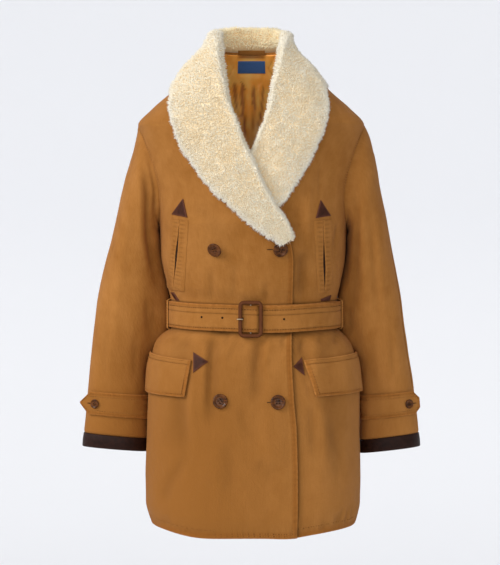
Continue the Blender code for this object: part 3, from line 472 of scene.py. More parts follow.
# The sleeves' creases, on the side that is seen from the front, then on the one seen from behind
SLEEVE_CREASES = {
    ("left", True): [
        (-5, 7, (-183, -197), (-178, -247), (-176, -319), (-164, -392), (-153, -421)),
        (-3.6, 5, (-173, -180), (-162, -238), (-166, -295), (-168, -324)),
        (2.6, 7, (-192, -170), (-189, -238), (-187, -315), (-179, -389)),
        (2, 6, (-171, -264), (-163, -341), (-156, -379)),
        (-3.2, 4, (-179, -425), (-179, -484)),
        (-2.2, 4, (-181, -539), (-180, -577)),
        (-2.4, 7, (-168, -430), (-172, -495), (-175, -560)),
        (1.6, 12, (-218, -307), (-230, -426), (-238, -529)),
        (-1.6, 9, (-206, -281), (-214, -361), (-221, -443)),
        (-1.4, 8, (-245, -426), (-252, -512), (-257, -572)),
        (-1.8, 5, (-199, -495), (-202, -572)),
        (-1.6, 2.6, (-179, -578), (-189, -590), (-180, -604)),
        (-1.6, 2.6, (-179, -614), (-191, -606)),
        (1.2, 8, (-211, -170), (-223, -238)),
    ],
    ("right", True): [
        (-4.2, 4.5, (162, -273), (166, -309), (164, -344), (160, -392), (153, -420)),
        (-2.6, 8, (175, -225), (180, -307), (177, -401), (168, -478)),
        (1.8, 7, (187, -256), (192, -358), (194, -478)),
        (-1.8, 6, (201, -281), (209, -367), (218, -478)),
        (1.5, 6, (214, -298), (225, -401), (233, -495)),
        (-3, 5, (163, -432), (170, -471), (165, -512)),
        (-2.2, 4, (179, -495), (180, -572)),
        (-1.4, 7, (206, -495), (213, -577)),
        (-1.6, 5, (238, -478), (247, -572)),
        (-2, 5, (172, -170), (163, -204), (159, -238)),
        (-1.6, 2.6, (189, -594), (201, -604)),
        (-1.6, 2.6, (189, -628), (202, -618)),
        (1.3, 8, (206, -170), (214, -230)),
    ],
    ("left", False): [
        (-3.5, 7, (-178, -200), (-182, -280), (-186, -360)),
        (2, 8, (-198, -190), (-204, -300), (-214, -400)),
        (-2.4, 6, (-216, -330), (-222, -430), (-226, -520)),
        (-2.6, 6, (-190, -400), (-210, -440), (-236, -452)),
        (-2, 5, (-196, -470), (-222, -490)),
        (-1.8, 8, (-252, -480), (-262, -600)),
    ],
    ("right", False): [
        (-3.5, 7, (176, -205), (184, -285), (184, -370)),
        (2, 8, (196, -195), (206, -310), (212, -400)),
        (-2.2, 6, (220, -320), (222, -420), (230, -520)),
        (-2.6, 6, (186, -410), (208, -446), (232, -456)),
        (-2, 5, (190, -478), (218, -500)),
        (-1.8, 8, (254, -470), (260, -600)),
    ],
}


def ease(value, start, end):
    """0 at start and 1 at end, with a smooth rise between."""
    t = np.clip((value - start) / (end - start), 0, 1)
    return t * t * (3 - 2 * t)


def bell(value, middle, width):
    """1 at the middle, falling off to both sides."""
    return np.exp(-(((value - middle) / width) ** 2))


LATTICE = rng.uniform(-1, 1, (32, 32, 32))


def soft_noise(points, size, seed):
    """Smooth noise from -1 to 1 at points, with lumps of a size that may differ by axis."""
    scaled = np.asarray(points, float) / np.asarray(size, float) + seed * 7.13
    cell = np.floor(scaled).astype(int)
    t = scaled - cell
    t = t * t * (3 - 2 * t)
    total = np.zeros(scaled.shape[:-1])
    for corner in np.ndindex(2, 2, 2):
        share = np.prod(np.where(corner, t, 1 - t), -1)
        at = (cell + np.array(corner)) % len(LATTICE)
        total += share * LATTICE[at[..., 0], at[..., 1], at[..., 2]]
    return total


def creased(x, z, creases):
    """How far drawn creases move a surface out."""
    moved = np.zeros(np.shape(x))
    for depth, width, *line in creases:
        line = np.array(line, float)
        low, high = line.min(0) - 3 * width, line.max(0) + 3 * width
        near = (x > low[0]) & (x < high[0]) & (z > low[1]) & (z < high[1])
        if not near.any():
            continue
        px, pz = x[near], z[near]
        best, along = np.full(px.shape, 1e9), np.zeros(px.shape)
        lengths = np.linalg.norm(np.diff(line, axis=0), axis=1)
        total, done = lengths.sum(), 0.0
        for (ax, az), (bx, bz), length in zip(line[:-1], line[1:], lengths, strict=True):
            t = ((px - ax) * (bx - ax) + (pz - az) * (bz - az)) / length**2
            t = np.clip(t, 0, 1)
            away = np.hypot(px - ax - t * (bx - ax), pz - az - t * (bz - az))
            closer = away < best
            best = np.where(closer, away, best)
            along = np.where(closer, (done + t * length) / total, along)
            done += length
        ends = ease(along, -0.05, 0.22) * ease(along, 1.05, 0.6)
        moved[near] += depth * ends * bell(best, 0, width)
    return moved


def unit(vectors):
    return vectors / np.linalg.norm(vectors, axis=-1, keepdims=True)


def squared(cosine, sine, square):
    """A point of the unit ring whose squareness is given, 2 being a circle."""
    reach = (np.abs(cosine) ** square + np.abs(sine) ** square) ** (1 / square)
    return cosine / reach, sine / reach


def ring(turn, height):
    """The coat's surface without its folds."""
    angle = np.radians(turn)
    ahead, aside = squared(np.cos(angle), np.sin(angle), BODY.at("square", height))
    is_front = np.cos(angle) > 0
    depth = np.where(is_front, BODY.at("front", height), BODY.at("back", height))
    drop = np.where(is_front, BODY.at("front_drop", height), BODY.at("back_drop", height))
    x = BODY.at("middle", height) + BODY.at("half_width", height) * aside
    sag = sum(deep * bell(x, at, width) for at, width, deep in HEM_SAGS)
    drop = drop + sag * is_front * ease(height, -730, -800) / np.maximum(np.cos(angle) ** 2, 0.2)
    return np.stack([x, -depth * ahead, height - drop * np.cos(angle) ** 2], -1)


def turn_at(x, height, facing="front"):
    """The turn of the surface point that is x to the right, at a height."""
    square = BODY.at("square", height)
    aside = np.clip((x - BODY.at("middle", height)) / BODY.at("half_width", height), -1, 1)
    ahead = (1 - np.abs(aside) ** square) ** (1 / square)
    turn = np.degrees(np.arctan2(aside, ahead))
    return turn if facing == "front" else 180 - turn


def fold(turn, height, x):
    """How far the folds move the surface out, at points whose x is known."""
    moved = np.zeros(np.shape(x))
    is_front = np.cos(np.radians(turn)) > 0
    for facing, top_x, top, low_x, low, depth, width in FOLDS:
        line = top_x + (low_x - top_x) * np.clip((height - top) / (low - top), 0, 1)
        shape = bell(x, line, width) * ease(height, low, (top + 2 * low) / 3)
        shape = shape * ease(height, top + 2, top - 14)
        moved = moved + depth * shape * (is_front == (facing == "front"))
    return moved


def relief(turn, height, base):
    """How far folds, creases and the cloth's own unevenness move the coat's surface out."""
    x, z = base[..., 0], base[..., 2]
    is_front = np.cos(np.radians(turn)) > 0
    front, behind = 1.45 * creased(x, z, FRONT_CREASES), 1.3 * creased(x, z, BACK_CREASES)
    below = ease(height, -60, -170)
    uneven = 1.5 * soft_noise(base, (42, 60, 110), 1) + 0.5 * soft_noise(base, (17, 25, 34), 2)
    uneven = uneven * (below + 0.15) * (1 - 0.7 * bell(height, BELT_MIDDLE, 30))
    return fold(turn, height, x) + np.where(is_front, front, behind) + uneven


def facing_out(place, turn, height):
    """The surface's unit normal."""
    around = place(turn + 0.5, height) - place(turn - 0.5, height)
    down = place(turn, height - 1.0) - place(turn, height + 1.0)
    return unit(np.cross(down, around))


def body(turn, height, out=0.0):
    """A point of the coat, out from its surface."""
    turn, height, out = np.broadcast_arrays(*(np.asarray(a, float) for a in (turn, height, out)))
    base = ring(turn, height)
    return base + facing_out(ring, turn, height) * (out + relief(turn, height, base))[..., None]


def sunk(turn, height):
    """How far the under front is inside the coat's surface: it slips under the other front."""
    past = ring(turn, height)[..., 0] - OVER_EDGE.at("x", height)
    between = ease(height, -120, -175) * ease(height, -335, -285)
    under = SINK * ease(past, 42, 8) + DEEP_SINK * ease(past, 5, -25)
    return under + COLLAR_SINK * between * ease(past, 66, 10)


def under_room(turn, height):
    """How far the wool of the under half may reach out before it meets the over front."""
    past = ring(turn, height)[..., 0] - OVER_EDGE.at("x", height)
    return sunk(turn, height) - CANVAS - 2.2 + 30 * ease(past, 8, 60)


def under_body(turn, height, out=0.0):
    """A point of the under front, out from its surface."""
    turn, height, out = np.broadcast_arrays(*(np.asarray(a, float) for a in (turn, height, out)))
    return body(turn, height, out - sunk(turn, height))


def armhole_cut(height, degrees):
    """How far the armhole cuts in from the side seam, at a height."""
    return degrees * np.sqrt(np.clip(1 - ((height - ARMHOLE_CENTRE) / ARMHOLE_HALF) ** 2, 0, 1))


def body_rows(step=4.0, armhole_steps=46):
    """Heights from the neck to the hem, even round the armhole's oval."""
    beside = ARMHOLE_CENTRE + ARMHOLE_HALF * np.cos(np.linspace(0, np.pi, armhole_steps + 1))
    above = np.arange(NECK, SHOULDER_TIP + 1, -step)
    below = np.linspace(ARMPIT, HEM, round((ARMPIT - HEM) / step))[1:]
    return np.concatenate([above, beside, below])


def armhole(side, around):
    """The armhole's points. around is 0 at the shoulder tip, 90 in front and 180 below."""
    angle = np.radians(around)
    height = ARMHOLE_CENTRE + ARMHOLE_HALF * np.cos(angle)
    cut = np.where(np.sin(angle) > 0, ARMHOLE_FRONT, ARMHOLE_BACK) * np.sin(angle)
    turn = SIGN[side] * (90 - cut)
    base = ring(turn, height)
    return base + facing_out(ring, turn, height) * fold(turn, height, base[..., 0])[..., None]


ARMHOLE_MIDDLE = {side: armhole(side, np.arange(0, 360, 45.0)).mean(0) for side in SIGN}


def sleeve_ring(side, around, along):
    """The sleeve's own rings: around is 0 outside, 90 in front and 180 at the body."""
    at = SLEEVES[side].at
    angle = np.radians(around)
    aside, ahead = squared(np.cos(angle), np.sin(angle), 2.25)
    ends = [(at("outer_" + n, along), at("inner_" + n, along)) for n in ("x", "height")]
    x, z = ((outer + inner) / 2 + aside * (outer - inner) / 2 for outer, inner in ends)
    return np.stack([SIGN[side] * x, at("middle_y", along) - ahead * at("deep", along), z], -1)


def sleeve_base(side, around, along):
    """The sleeve without creases. Its first ring is the armhole, which fades into its own rings."""
    hole = armhole(side, around)
    hole = hole + SEAM * unit(ARMHOLE_MIDDLE[side] - hole)
    away = hole - sleeve_ring(side, around, np.zeros_like(along))
    fade = (1 - np.clip(along / 2.5, 0, 1)) ** 2
    return sleeve_ring(side, around, along) + away * fade[..., None]


def sleeve(side, around, along, out=0.0):
    """A point of a sleeve, out from its surface."""
    around, along, out = np.broadcast_arrays(*(np.asarray(a, float) for a in (around, along, out)))
    base = sleeve_base(side, around, along)
    turned = sleeve_base(side, around + 2, along) - sleeve_base(side, around - 2, along)
    down = sleeve_base(side, around, along + 0.02)
    down = down - sleeve_base(side, around, along - 0.02 * (along > 0))
    normal = unit(np.cross(turned, down)) * SIGN[side]
    into_hole = unit(ARMHOLE_MIDDLE[side] - base)
    leaning = np.maximum((normal * into_hole).sum(-1), 0) * (1 - ease(along, 0, 0.6))
    moved = soft_noise(base, (26, 40, 90), 3) * 1.3 + soft_noise(base, (12, 20, 34), 4) * 0.5
    ahead = np.sin(np.radians(around)) > 0
    for is_ahead in (True, False):
        drawn = creased(base[..., 0], base[..., 2], SLEEVE_CREASES[side, is_ahead])
        moved = moved + np.where(ahead == is_ahead, drawn, 0)
    moved = moved * ease(along, 0, 0.7) * ease(along, 11.0, 10.2)
    flank = np.abs((around + 180) % 360 - 180)
    moved = moved + np.interp(along, *CLOSER[side]) * ease(flank, 128, 166)
    return base + unit(normal - into_hole * leaning[..., None]) * (out + moved)[..., None]


# ---- Finishes

LINING_GLOW = 0.035  # stands for the light that the pale collar throws into the neck
WOOL_GLOW = 0.12  # stands for the light that wool scatters inside


class Value:
    """A node's output, with arithmetic: an expression on values adds its Math nodes."""

    def __init__(self, finish, output):
        self.finish, self.output = finish, output

    def maths(self, operation, other, flipped=False):
        pair = (other, self) if flipped else (self, other)
        return self.finish.add("ShaderNodeMath", {"operation": operation}, dict(enumerate(pair)))

    def __add__(self, other):
        return self.maths("ADD", other)

    def __rsub__(self, other):
        return self.maths("SUBTRACT", other, flipped=True)

    def __sub__(self, other):
        return self.maths("SUBTRACT", other)

    def __mul__(self, other):
        return self.maths("MULTIPLY", other)

    def __pow__(self, other):
        return self.maths("POWER", other)

    __radd__ = __add__
    __rmul__ = __mul__


class Finish:
    """A material in the making: its nodes, and the shader that they feed."""

    def __init__(self, name, **settings):
        self.material = bpy.data.materials.new(name)
        self.material.use_nodes = True
        self.tree = self.material.node_tree
        self.shader = self.tree.nodes["Principled BSDF"]
        for socket, value in settings.items():
            self.feed(socket.replace("_", " "), value)

    def put(self, socket, value):
        if isinstance(value, Value):
            self.tree.links.new(value.output, socket)
        else:
            socket.default_value = value

    def feed(self, socket, value):
        self.put(self.shader.inputs[socket], value)

    def add(self, kind, settings=None, inputs=None, output=0):
        """Adds a node: its settings first, then its sockets' values or links."""
        node = self.tree.nodes.new(kind)
        for name, value in (settings or {}).items():
            setattr(node, name, value)
        for name, value in (inputs or {}).items():
            self.put(node.inputs[name], value)
        return Value(self, node.outputs[output])

    def place(self):
        return self.add("ShaderNodeTexCoord", output="Object")

    def attribute(self, name, output="Fac"):
        return self.add("ShaderNodeAttribute", {"attribute_name": name}, output=output)

    def stretched(self, place, scale):
        """A place scaled by axis."""
        return self.add("ShaderNodeVectorMath", {"operation": "MULTIPLY"}, {0: place, 1: scale})

    def split(self, vector, axis):
        return self.add("ShaderNodeSeparateXYZ", inputs={0: vector}, output=axis)

    def lumps(self, place, scale, detail=2.0, rough=0.5):
        inputs = {"Vector": place, "Scale": scale, "Detail": detail, "Roughness": rough}
        return self.add("ShaderNodeTexNoise", inputs=inputs)

    def cells(self, place, scale):
        return self.add("ShaderNodeTexVoronoi", inputs={"Vector": place, "Scale": scale})

    def between(self, value, low, high):
        """0 where value is low, 1 where it is high."""
        inputs = {"Value": value, "From Min": low, "From Max": high}
        return self.add("ShaderNodeMapRange", inputs=inputs)

    def blend(self, factor, first, second):
        """A colour between two, each given as a tuple or a value."""
        pair = [c if isinstance(c, Value) else (*c, 1) for c in (first, second)]
        inputs = {0: factor, 6: pair[0], 7: pair[1]}
        return self.add("ShaderNodeMix", {"data_type": "RGBA"}, inputs, output=2)

    def bump(self, height, distance, strength=1.0):
        inputs = {"Height": height, "Distance": distance, "Strength": strength}
        self.feed("Normal", self.add("ShaderNodeBump", inputs=inputs))


def canvas_finish(name, dark, middle, light):
    """Washed cotton twill: cloudy colour, paler worn edges, deeper colour in its hems, painted shade in its
    creases and seams and by the belt, and painted shade and light on the lower coat.
    """
    finish = Finish(name, Sheen_Weight=0.03, Sheen_Roughness=0.5, Specular_IOR_Level=0.12)
    cloth = finish.attribute("cloth", "Vector")
    clouds = finish.lumps(finish.stretched(finish.place(), (1, 1, 0.5)), 13, 4.0, 0.6)
    patches = finish.lumps(finish.stretched(finish.place(), (1, 1, 0.7)), 52, 3.0, 0.6)
    slubs = finish.lumps(finish.stretched(cloth, (1, 0.10, 1)), 480, 2.0)
    weft = finish.lumps(finish.stretched(cloth, (0.12, 1, 1)), 560, 1.0)
    shade = clouds * 0.45 + patches * 0.30 + slubs * 0.17 + weft * 0.08
    colour = finish.blend(finish.between(shade, 0.38, 0.62), dark, light)
    colour = finish.blend(0.25, colour, middle)
    # Painted shade on the lower left of the coat and painted light on its lower right, for how the lamps
    # fall on the skirt.
    lower_painted_light = finish.between(finish.split(finish.place(), 2), -0.44, -0.66)
    leftward = finish.between(finish.split(finish.place(), 0), 0.14, -0.06)
    colour = finish.blend(lower_painted_light * leftward * 0.95, colour, dark)
    colour = finish.blend(lower_painted_light * (1.0 - leftward) * 0.3, colour, light)
    colour = finish.blend(finish.attribute("deep"), colour, [dark[0] * 0.98, dark[1] * 0.82, dark[2] * 0.55])
    worn = finish.attribute("wear") * finish.between(finish.lumps(cloth, 210, 2.0), 0.3, 0.7)
    colour = finish.blend(worn * 0.7, colour, [c * 1.35 for c in light])
    # The shade attribute darkens the colour: painted shade in hollows, seams and puckers, and painted shadow
    # by the belt and buckle.
    colour = finish.blend(finish.attribute("shade"), colour, [c * 0.22 for c in dark])
    finish.feed("Base Color", colour)
    finish.feed("Roughness", 0.82 + slubs * 0.14)
    across, down = finish.split(cloth, 0), finish.split(cloth, 1)
    twill = ((across + down) * (2 * math.pi / 0.0011)).maths("SINE", 0.0)
    finish.bump(twill * 0.25 + slubs * 0.9 + weft * 0.6 + finish.lumps(cloth, 130, 2.0) * 2.0, 0.0003)
    return finish.material


def wool_finish():
    """Shearling locks: warm at the root, pale at the tip, whiter towards the collar's edge, and warmer where
    painted shade falls inside the neck.
    """
    finish = Finish("wool_locks", Roughness=0.95, Sheen_Weight=0.3, Sheen_Roughness=0.6)
    finish.feed("Specular IOR Level", 0.1)
    tip, tint, rim = (finish.attribute(n) for n in ("tip", "tint", "rim"))
    clouds = finish.between(finish.lumps(finish.place(), 26, 3.0), 0.35, 0.65)
    warm = finish.blend(clouds, (0.91, 0.78, 0.55), (0.92, 0.84, 0.67))
    pale = finish.blend(rim, warm, (0.87, 0.83, 0.73))
    pale = finish.blend(finish.attribute("neck") * 0.85, pale, (0.95, 0.80, 0.49))
    root = finish.blend(tint, (0.82, 0.66, 0.42), (0.88, 0.75, 0.54))
    colour = finish.blend(finish.between(tip, 0.0, 0.5), root, pale)
    colour = finish.blend(tint * 0.3, colour, (0.93, 0.90, 0.80))
    finish.feed("Base Color", colour)
    finish.feed("Emission Color", colour)
    finish.feed("Emission Strength", WOOL_GLOW)
    return finish.material


def hide_finish():
    """What lies between the locks: short dense wool, coloured darker and warmer as painted shade between the
    locks, and darker still with painted shade inside the neck.
    """
    finish = Finish("wool_ground", Roughness=1.0, Specular_IOR_Level=0.1)
    fleece = finish.lumps(finish.place(), 420, 3.0, 0.7)
    rim = finish.attribute("rim")
    colour = finish.blend(fleece, (0.78, 0.60, 0.36), (0.95, 0.82, 0.58))
    colour = finish.blend(rim * 0.6, colour, (0.94, 0.88, 0.74))
    colour = finish.blend(finish.attribute("neck") * 0.8, colour, (0.78, 0.56, 0.29))
    finish.feed("Base Color", colour)
    finish.feed("Emission Color", colour)
    finish.feed("Emission Strength", WOOL_GLOW)
    finish.bump(fleece, 0.0012)
    return finish.material


def leather_finish(name, dark, light, shine=0.16):
    finish = Finish(name, Specular_IOR_Level=shine)
    grain = finish.cells(finish.place(), 900)
    wrinkles = finish.lumps(finish.place(), 160, 3.0, 0.6)
    colour = finish.blend(finish.between(wrinkles, 0.3, 0.7), dark, light)
    colour = finish.blend(finish.attribute("wear") * 0.7, colour, [c * 2.2 + 0.01 for c in light])
    finish.feed("Base Color", colour)
    finish.feed("Roughness", 0.46 + wrinkles * 0.22)
    finish.bump(grain * 0.6 + wrinkles * 2.0, 0.00025)
    return finish.material


def lining_finish():
    finish = Finish("lining_satin", Sheen_Weight=0.25, Sheen_Roughness=0.35, Anisotropic=0.3)
    cloth = finish.attribute("cloth", "Vector")
    threads = finish.lumps(finish.stretched(cloth, (1, 0.08, 1)), 900, 2.0)
    clouds = finish.lumps(finish.place(), 30, 3.0)
    colour = finish.blend(finish.between(clouds, 0.35, 0.65), (1.0, 0.40, 0.060), (1.0, 0.58, 0.14))
    colour = finish.blend(finish.attribute("shade"), colour, (0.34, 0.095, 0.014))
    finish.feed("Base Color", colour)
    finish.feed("Emission Color", colour)
    finish.feed("Emission Strength", LINING_GLOW)
    finish.feed("Roughness", 0.28 + threads * 0.22)
    finish.bump(threads, 0.00012)
    return finish.material


def label_finish():
    finish = Finish("label_tape", Roughness=0.62, Sheen_Weight=0.05)
    cloth = finish.attribute("cloth", "Vector")
    rib = (finish.split(cloth, 1) * (2 * math.pi / 0.0008)).maths("SINE", 0.0)
    threads = finish.lumps(finish.stretched(cloth, (0.2, 1, 1)), 1500, 2.0)
    colour = finish.blend(threads, (0.020, 0.085, 0.26), (0.045, 0.14, 0.38))
    finish.feed("Base Color", finish.blend(finish.attribute("wear") * 0.4, colour, (0.09, 0.20, 0.42)))
    finish.bump(rib * 0.5 + threads, 0.00012)
    return finish.material


def horn_finish(name, dark, light):
    finish = Finish(name, Coat_Weight=0.14, Coat_Roughness=0.05, Specular_IOR_Level=0.1)
    flow = finish.lumps(finish.stretched(finish.place(), (1, 1, 3)), 95, 3.0, 0.6)
    specks = finish.lumps(finish.place(), 620, 2.0)
    colour = finish.blend(finish.between(flow * 0.8 + specks * 0.2, 0.36, 0.64), dark, light)
    finish.feed("Base Color", colour)
    finish.feed("Roughness", 0.2 + specks * 0.16)
    finish.bump(specks, 0.00006)
    return finish.material


def brass_finish():
    finish = Finish("old_brass", Metallic=1.0)
    rubs = finish.lumps(finish.place(), 700, 3.0, 0.6)
    finish.feed("Base Color", finish.blend(rubs, (0.62, 0.46, 0.26), (0.86, 0.78, 0.62)))
    finish.feed("Roughness", 0.18 + rubs * 0.25)
    finish.bump(rubs, 0.00005)
    return finish.material


def thread_finish(name, dark, light):
    finish = Finish(name, Roughness=0.85, Specular_IOR_Level=0.1)
    twist = finish.lumps(finish.place(), 2400, 1.0)
    colour = finish.blend(twist, dark, light)
    finish.feed("Base Color", finish.blend(finish.attribute("tint") * 0.4, colour, [c * 0.6 for c in dark]))
    finish.bump(twist, 0.0001)
    return finish.material


# ---- Making pieces


def piece(name, data, finish, nodes=()):
    """An object that rides on the coat, in a finish, standing for CAD nodes."""
    data.materials.clear()
    data.materials.append(finish)
    thing = bpy.data.objects.new(name, data)
    bpy.context.scene.collection.objects.link(thing)
    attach(thing, "root")
    if nodes:
        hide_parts(*nodes)
    return thing


def to_data(name, mesh, fix=False):
    """Mesh data in metres from a bmesh in millimetres, its faces pointing out."""
    if fix:
        bmesh.ops.recalc_face_normals(mesh, faces=mesh.faces[:])
    if mesh.calc_volume(signed=True) < 0:
        bmesh.ops.reverse_faces(mesh, faces=mesh.faces[:])
    bmesh.ops.scale(mesh, vec=(MM, MM, MM), verts=mesh.verts[:])
    data = bpy.data.meshes.new(name)
    mesh.to_mesh(data)
    mesh.free()
    data.shade_smooth()
    return data


def give(data, name, values):
    """Stores a number, or a vector, for each of a mesh's points."""
    values = np.asarray(values, np.float32)
    kind, field = ("FLOAT", "value") if values.ndim == 1 else ("FLOAT_VECTOR", "vector")
    data.attributes.new(name, kind, "POINT").data.foreach_set(field, values.ravel())


def edged(start, end, step, near=()):
    """Values from start to end, about a step apart, with more beside the ends."""
    span = abs(end - start)
    near = np.array([n for n in near if n < span / 3])
    last = near[-1] if len(near) else 0.0
    inner = np.linspace(last, span - last, max(2, round((span - 2 * last) / step) + 1))
    every = np.concatenate([[0.0], near[:-1], inner, span - near[:-1][::-1], [span]])
    every = np.unique(np.round(every, 4))
    return start + (end - start) * every / span


def cloth(name, cut, nodes, across, down, lay, outside, inside, **looks):
    """A piece of cloth with both its faces: lay(u, v, out) gives points of its surface.

    looks may hold its finish, canvas when it isn't given, a slot, which is not used, round_by (how far in
    its edges are rounded), worn and wear_by (which edges of l r t b are worn, and how wide), hemmed and
    deep_by (the same for its hems), through (how much of rough its inner face has), and functions of the
    cloth's own x and y and of u and v: rough, how far it is moved out, and dark, how dark it is.
    """
    across, down = np.asarray(across, float), np.asarray(down, float)
    columns, rows = len(across) - 1, len(down) - 1
    mesh = bmesh.new()
    bmesh.ops.create_grid(mesh, x_segments=columns, y_segments=rows, size=0.5)
    raised = bmesh.ops.extrude_face_region(mesh, geom=mesh.faces[:])["geom"]
    raised = {v for v in raised if isinstance(v, bmesh.types.BMVert)}
    is_raised = np.array([vertex in raised for vertex in mesh.verts])
    grid = np.array([v.co for v in mesh.verts])
    i = np.rint((grid[:, 0] + 0.5) * columns).astype(int)
    j = np.rint((grid[:, 1] + 0.5) * rows).astype(int)

    # the cloth's own measure, from its outer face
    u, v = np.meshgrid(across, down, indexing="ij")
    flat = lay(u.ravel(), v.ravel(), np.full(u.size, outside)).reshape(columns + 1, rows + 1, 3)
    steps = np.linalg.norm(np.diff(flat, axis=0), axis=-1)
    x = np.concatenate([np.zeros((1, rows + 1)), steps.cumsum(0)])
    steps = np.linalg.norm(np.diff(flat, axis=1), axis=-1)
    y = np.concatenate([np.zeros((columns + 1, 1)), steps.cumsum(1)], 1)
    sides = {"l": x, "r": x[-1:] - x, "t": y, "b": y[:, -1:] - y}
    edge = np.minimum.reduce(list(sides.values()))
    round_by = looks.get("round_by", 0.8)
    part = np.clip(edge / round_by, 0, 1)
    out = inside + (outside - inside) * (0.25 + 0.75 * np.sqrt(1 - (1 - part) ** 2))
    moved = looks["rough"](x, y, u, v) if "rough" in looks else np.zeros_like(x)
    low = np.full_like(out, inside) + moved * looks.get("through", 1.0)

    outer = lay(u.ravel(), v.ravel(), (out + moved).ravel()).reshape(flat.shape)
    inner = lay(u.ravel(), v.ravel(), low.ravel()).reshape(flat.shape)
    points = np.where(is_raised[:, None], outer[i, j], inner[i, j])
    for vertex, point in zip(mesh.verts, points, strict=True):
        vertex.co = point
    data = to_data(name, mesh)
    measure = np.stack([x - x[columns // 2], y, 0 * x], -1)[i, j] * MM
    give(data, "cloth", measure)
    worn = looks.get("worn", "lrtb")
    near = np.minimum.reduce([sides[s] for s in worn]) if worn else np.full_like(x, 99.0)
    give(data, "wear", np.exp(-((near / looks.get("wear_by", 2.2)) ** 2))[i, j] * is_raised)
    hem = np.minimum.reduce([sides[s] for s in looks.get("hemmed", "lrtb")])
    deep_by = looks.get("deep_by", 0.0)
    give(data, "deep", (ease(hem, deep_by + 1.5, deep_by - 1.5) * 0.5 * (deep_by > 0))[i, j])
    # dark is kept as the shade attribute; on most pieces it is painted shade.
    dark = looks["dark"](x, y, u, v) if "dark" in looks else np.zeros_like(x)
    give(data, "shade", np.clip(dark, 0, 1)[i, j])
    made = piece(name, data, looks.get("finish", CANVAS_CLOTH), nodes)


def turned_to(ahead, up):
    """Euler angles that turn +X to ahead and +Z to up, for arrays of directions."""
    ahead = unit(ahead)
    side = unit(np.cross(up, ahead))
    up = np.cross(ahead, side)
    frames = np.stack([ahead, side, up], -1)
    return np.array([Matrix(f).to_euler() for f in frames])


def scatter(name, pattern, places, turns, sizes, finish, slot, **values):
    """Copies of a small mesh at many places, joined into one piece by Geometry Nodes."""
    data = bpy.data.meshes.new(name)
    seeds = bmesh.new()
    for place in places:
        seeds.verts.new(place * MM)
    seeds.to_mesh(data)
    seeds.free()
    give(data, "turned", turns)
    give(data, "sized", sizes)
    for key, numbers in values.items():
        give(data, key, numbers)
    model = bpy.data.objects.new(f"{name}_model", pattern)
    bpy.context.scene.collection.objects.link(model)
    spots = bpy.data.objects.new(f"{name}_spots", data)
    bpy.context.scene.collection.objects.link(spots)
    group = bpy.data.node_groups.new(f"{name}_copies", "GeometryNodeTree")
    group.interface.new_socket("Geometry", in_out="INPUT", socket_type="NodeSocketGeometry")
    group.interface.new_socket("Geometry", in_out="OUTPUT", socket_type="NodeSocketGeometry")
    nodes, links = group.nodes, group.links
    start, end = nodes.new("NodeGroupInput"), nodes.new("NodeGroupOutput")
    copies, info = nodes.new("GeometryNodeInstanceOnPoints"), nodes.new("GeometryNodeObjectInfo")
    real = nodes.new("GeometryNodeRealizeInstances")
    info.inputs["Object"].default_value = model
    links.new(start.outputs[0], copies.inputs["Points"])
    links.new(info.outputs["Geometry"], copies.inputs["Instance"])
    for key, socket in (("turned", "Rotation"), ("sized", "Scale")):
        read = nodes.new("GeometryNodeInputNamedAttribute")
        read.data_type = "FLOAT_VECTOR"
        read.inputs["Name"].default_value = key
        links.new(read.outputs["Attribute"], copies.inputs[socket])
    links.new(copies.outputs[0], real.inputs[0])
    links.new(real.outputs[0], end.inputs[0])
    modifier = spots.modifiers.new("copies", "NODES")
    modifier.node_group = group
    bpy.context.view_layer.update()
    made = bpy.data.meshes.new_from_object(spots.evaluated_get(bpy.context.evaluated_depsgraph_get()))
    made.name = name
    for thing in (spots, model):
        bpy.data.objects.remove(thing)
    for key in ("turned", "sized"):
        if key in made.attributes:
            made.attributes.remove(made.attributes[key])
    made.shade_smooth()
    return piece(name, made, finish)


class Stitching:
    """Rows of stitches that are sewn one by one and made into one piece."""

    def __init__(self, length=3.0, gap=1.1, thick=0.75):
        self.step, self.length, self.thick = length + gap, length, thick
        self.places, self.ahead, self.up = [], [], []

    def sew(self, lay, u, v, out=0.15, count=400):
        """A row along the line through points u, v of a surface."""
        u, v = np.atleast_1d(u).astype(float), np.atleast_1d(v).astype(float)
        u, v = np.broadcast_arrays(u, v)
        t = np.linspace(0, len(u) - 1, count)
        u, v = np.interp(t, np.arange(len(u)), u), np.interp(t, np.arange(len(v)), v)
        line = lay(u, v, np.full(count, out))
        above = lay(u, v, np.full(count, out + 0.5))
        length = np.concatenate([[0], np.linalg.norm(np.diff(line, axis=0), axis=1).cumsum()])
        spots = np.arange(self.step / 2, length[-1] - self.step * 0.4, self.step)
        if not len(spots):
            return
        at = np.stack([np.interp(spots, length, line[:, n]) for n in range(3)], -1)
        up = np.stack([np.interp(spots, length, (above - line)[:, n]) for n in range(3)], -1)
        ends = np.stack([np.interp(spots + 0.6, length, line[:, n]) for n in range(3)], -1)
        starts = np.stack([np.interp(spots - 0.6, length, line[:, n]) for n in range(3)], -1)
        self.places.append(at)
        self.ahead.append(ends - starts)
        self.up.append(up)

    def make(self, name, finish, slot):
        places, ahead, up = (np.concatenate(p) for p in (self.places, self.ahead, self.up))
        stitch = bmesh.new()
        bmesh.ops.create_uvsphere(stitch, u_segments=4, v_segments=2, radius=0.55)
        pattern = bpy.data.meshes.new(f"{name}_pattern")
        stitch.to_mesh(pattern)
        stitch.free()
        size = np.array([self.length, self.thick, self.thick * 0.75]) * MM
        sizes = size * rng.uniform(0.9, 1.1, (len(places), 1))
        tint = rng.uniform(0, 1, len(places))
        return scatter(name, pattern, places, turned_to(ahead, up), sizes, finish, slot, tint=tint)


def wobble(y, size, seed):
    """An uneven ripple along a seam, from -1 to 1."""
    return np.sin(2 * np.pi * y / size + 1.3 * np.sin(y / size / 1.7 + seed) + 2.1 * seed)


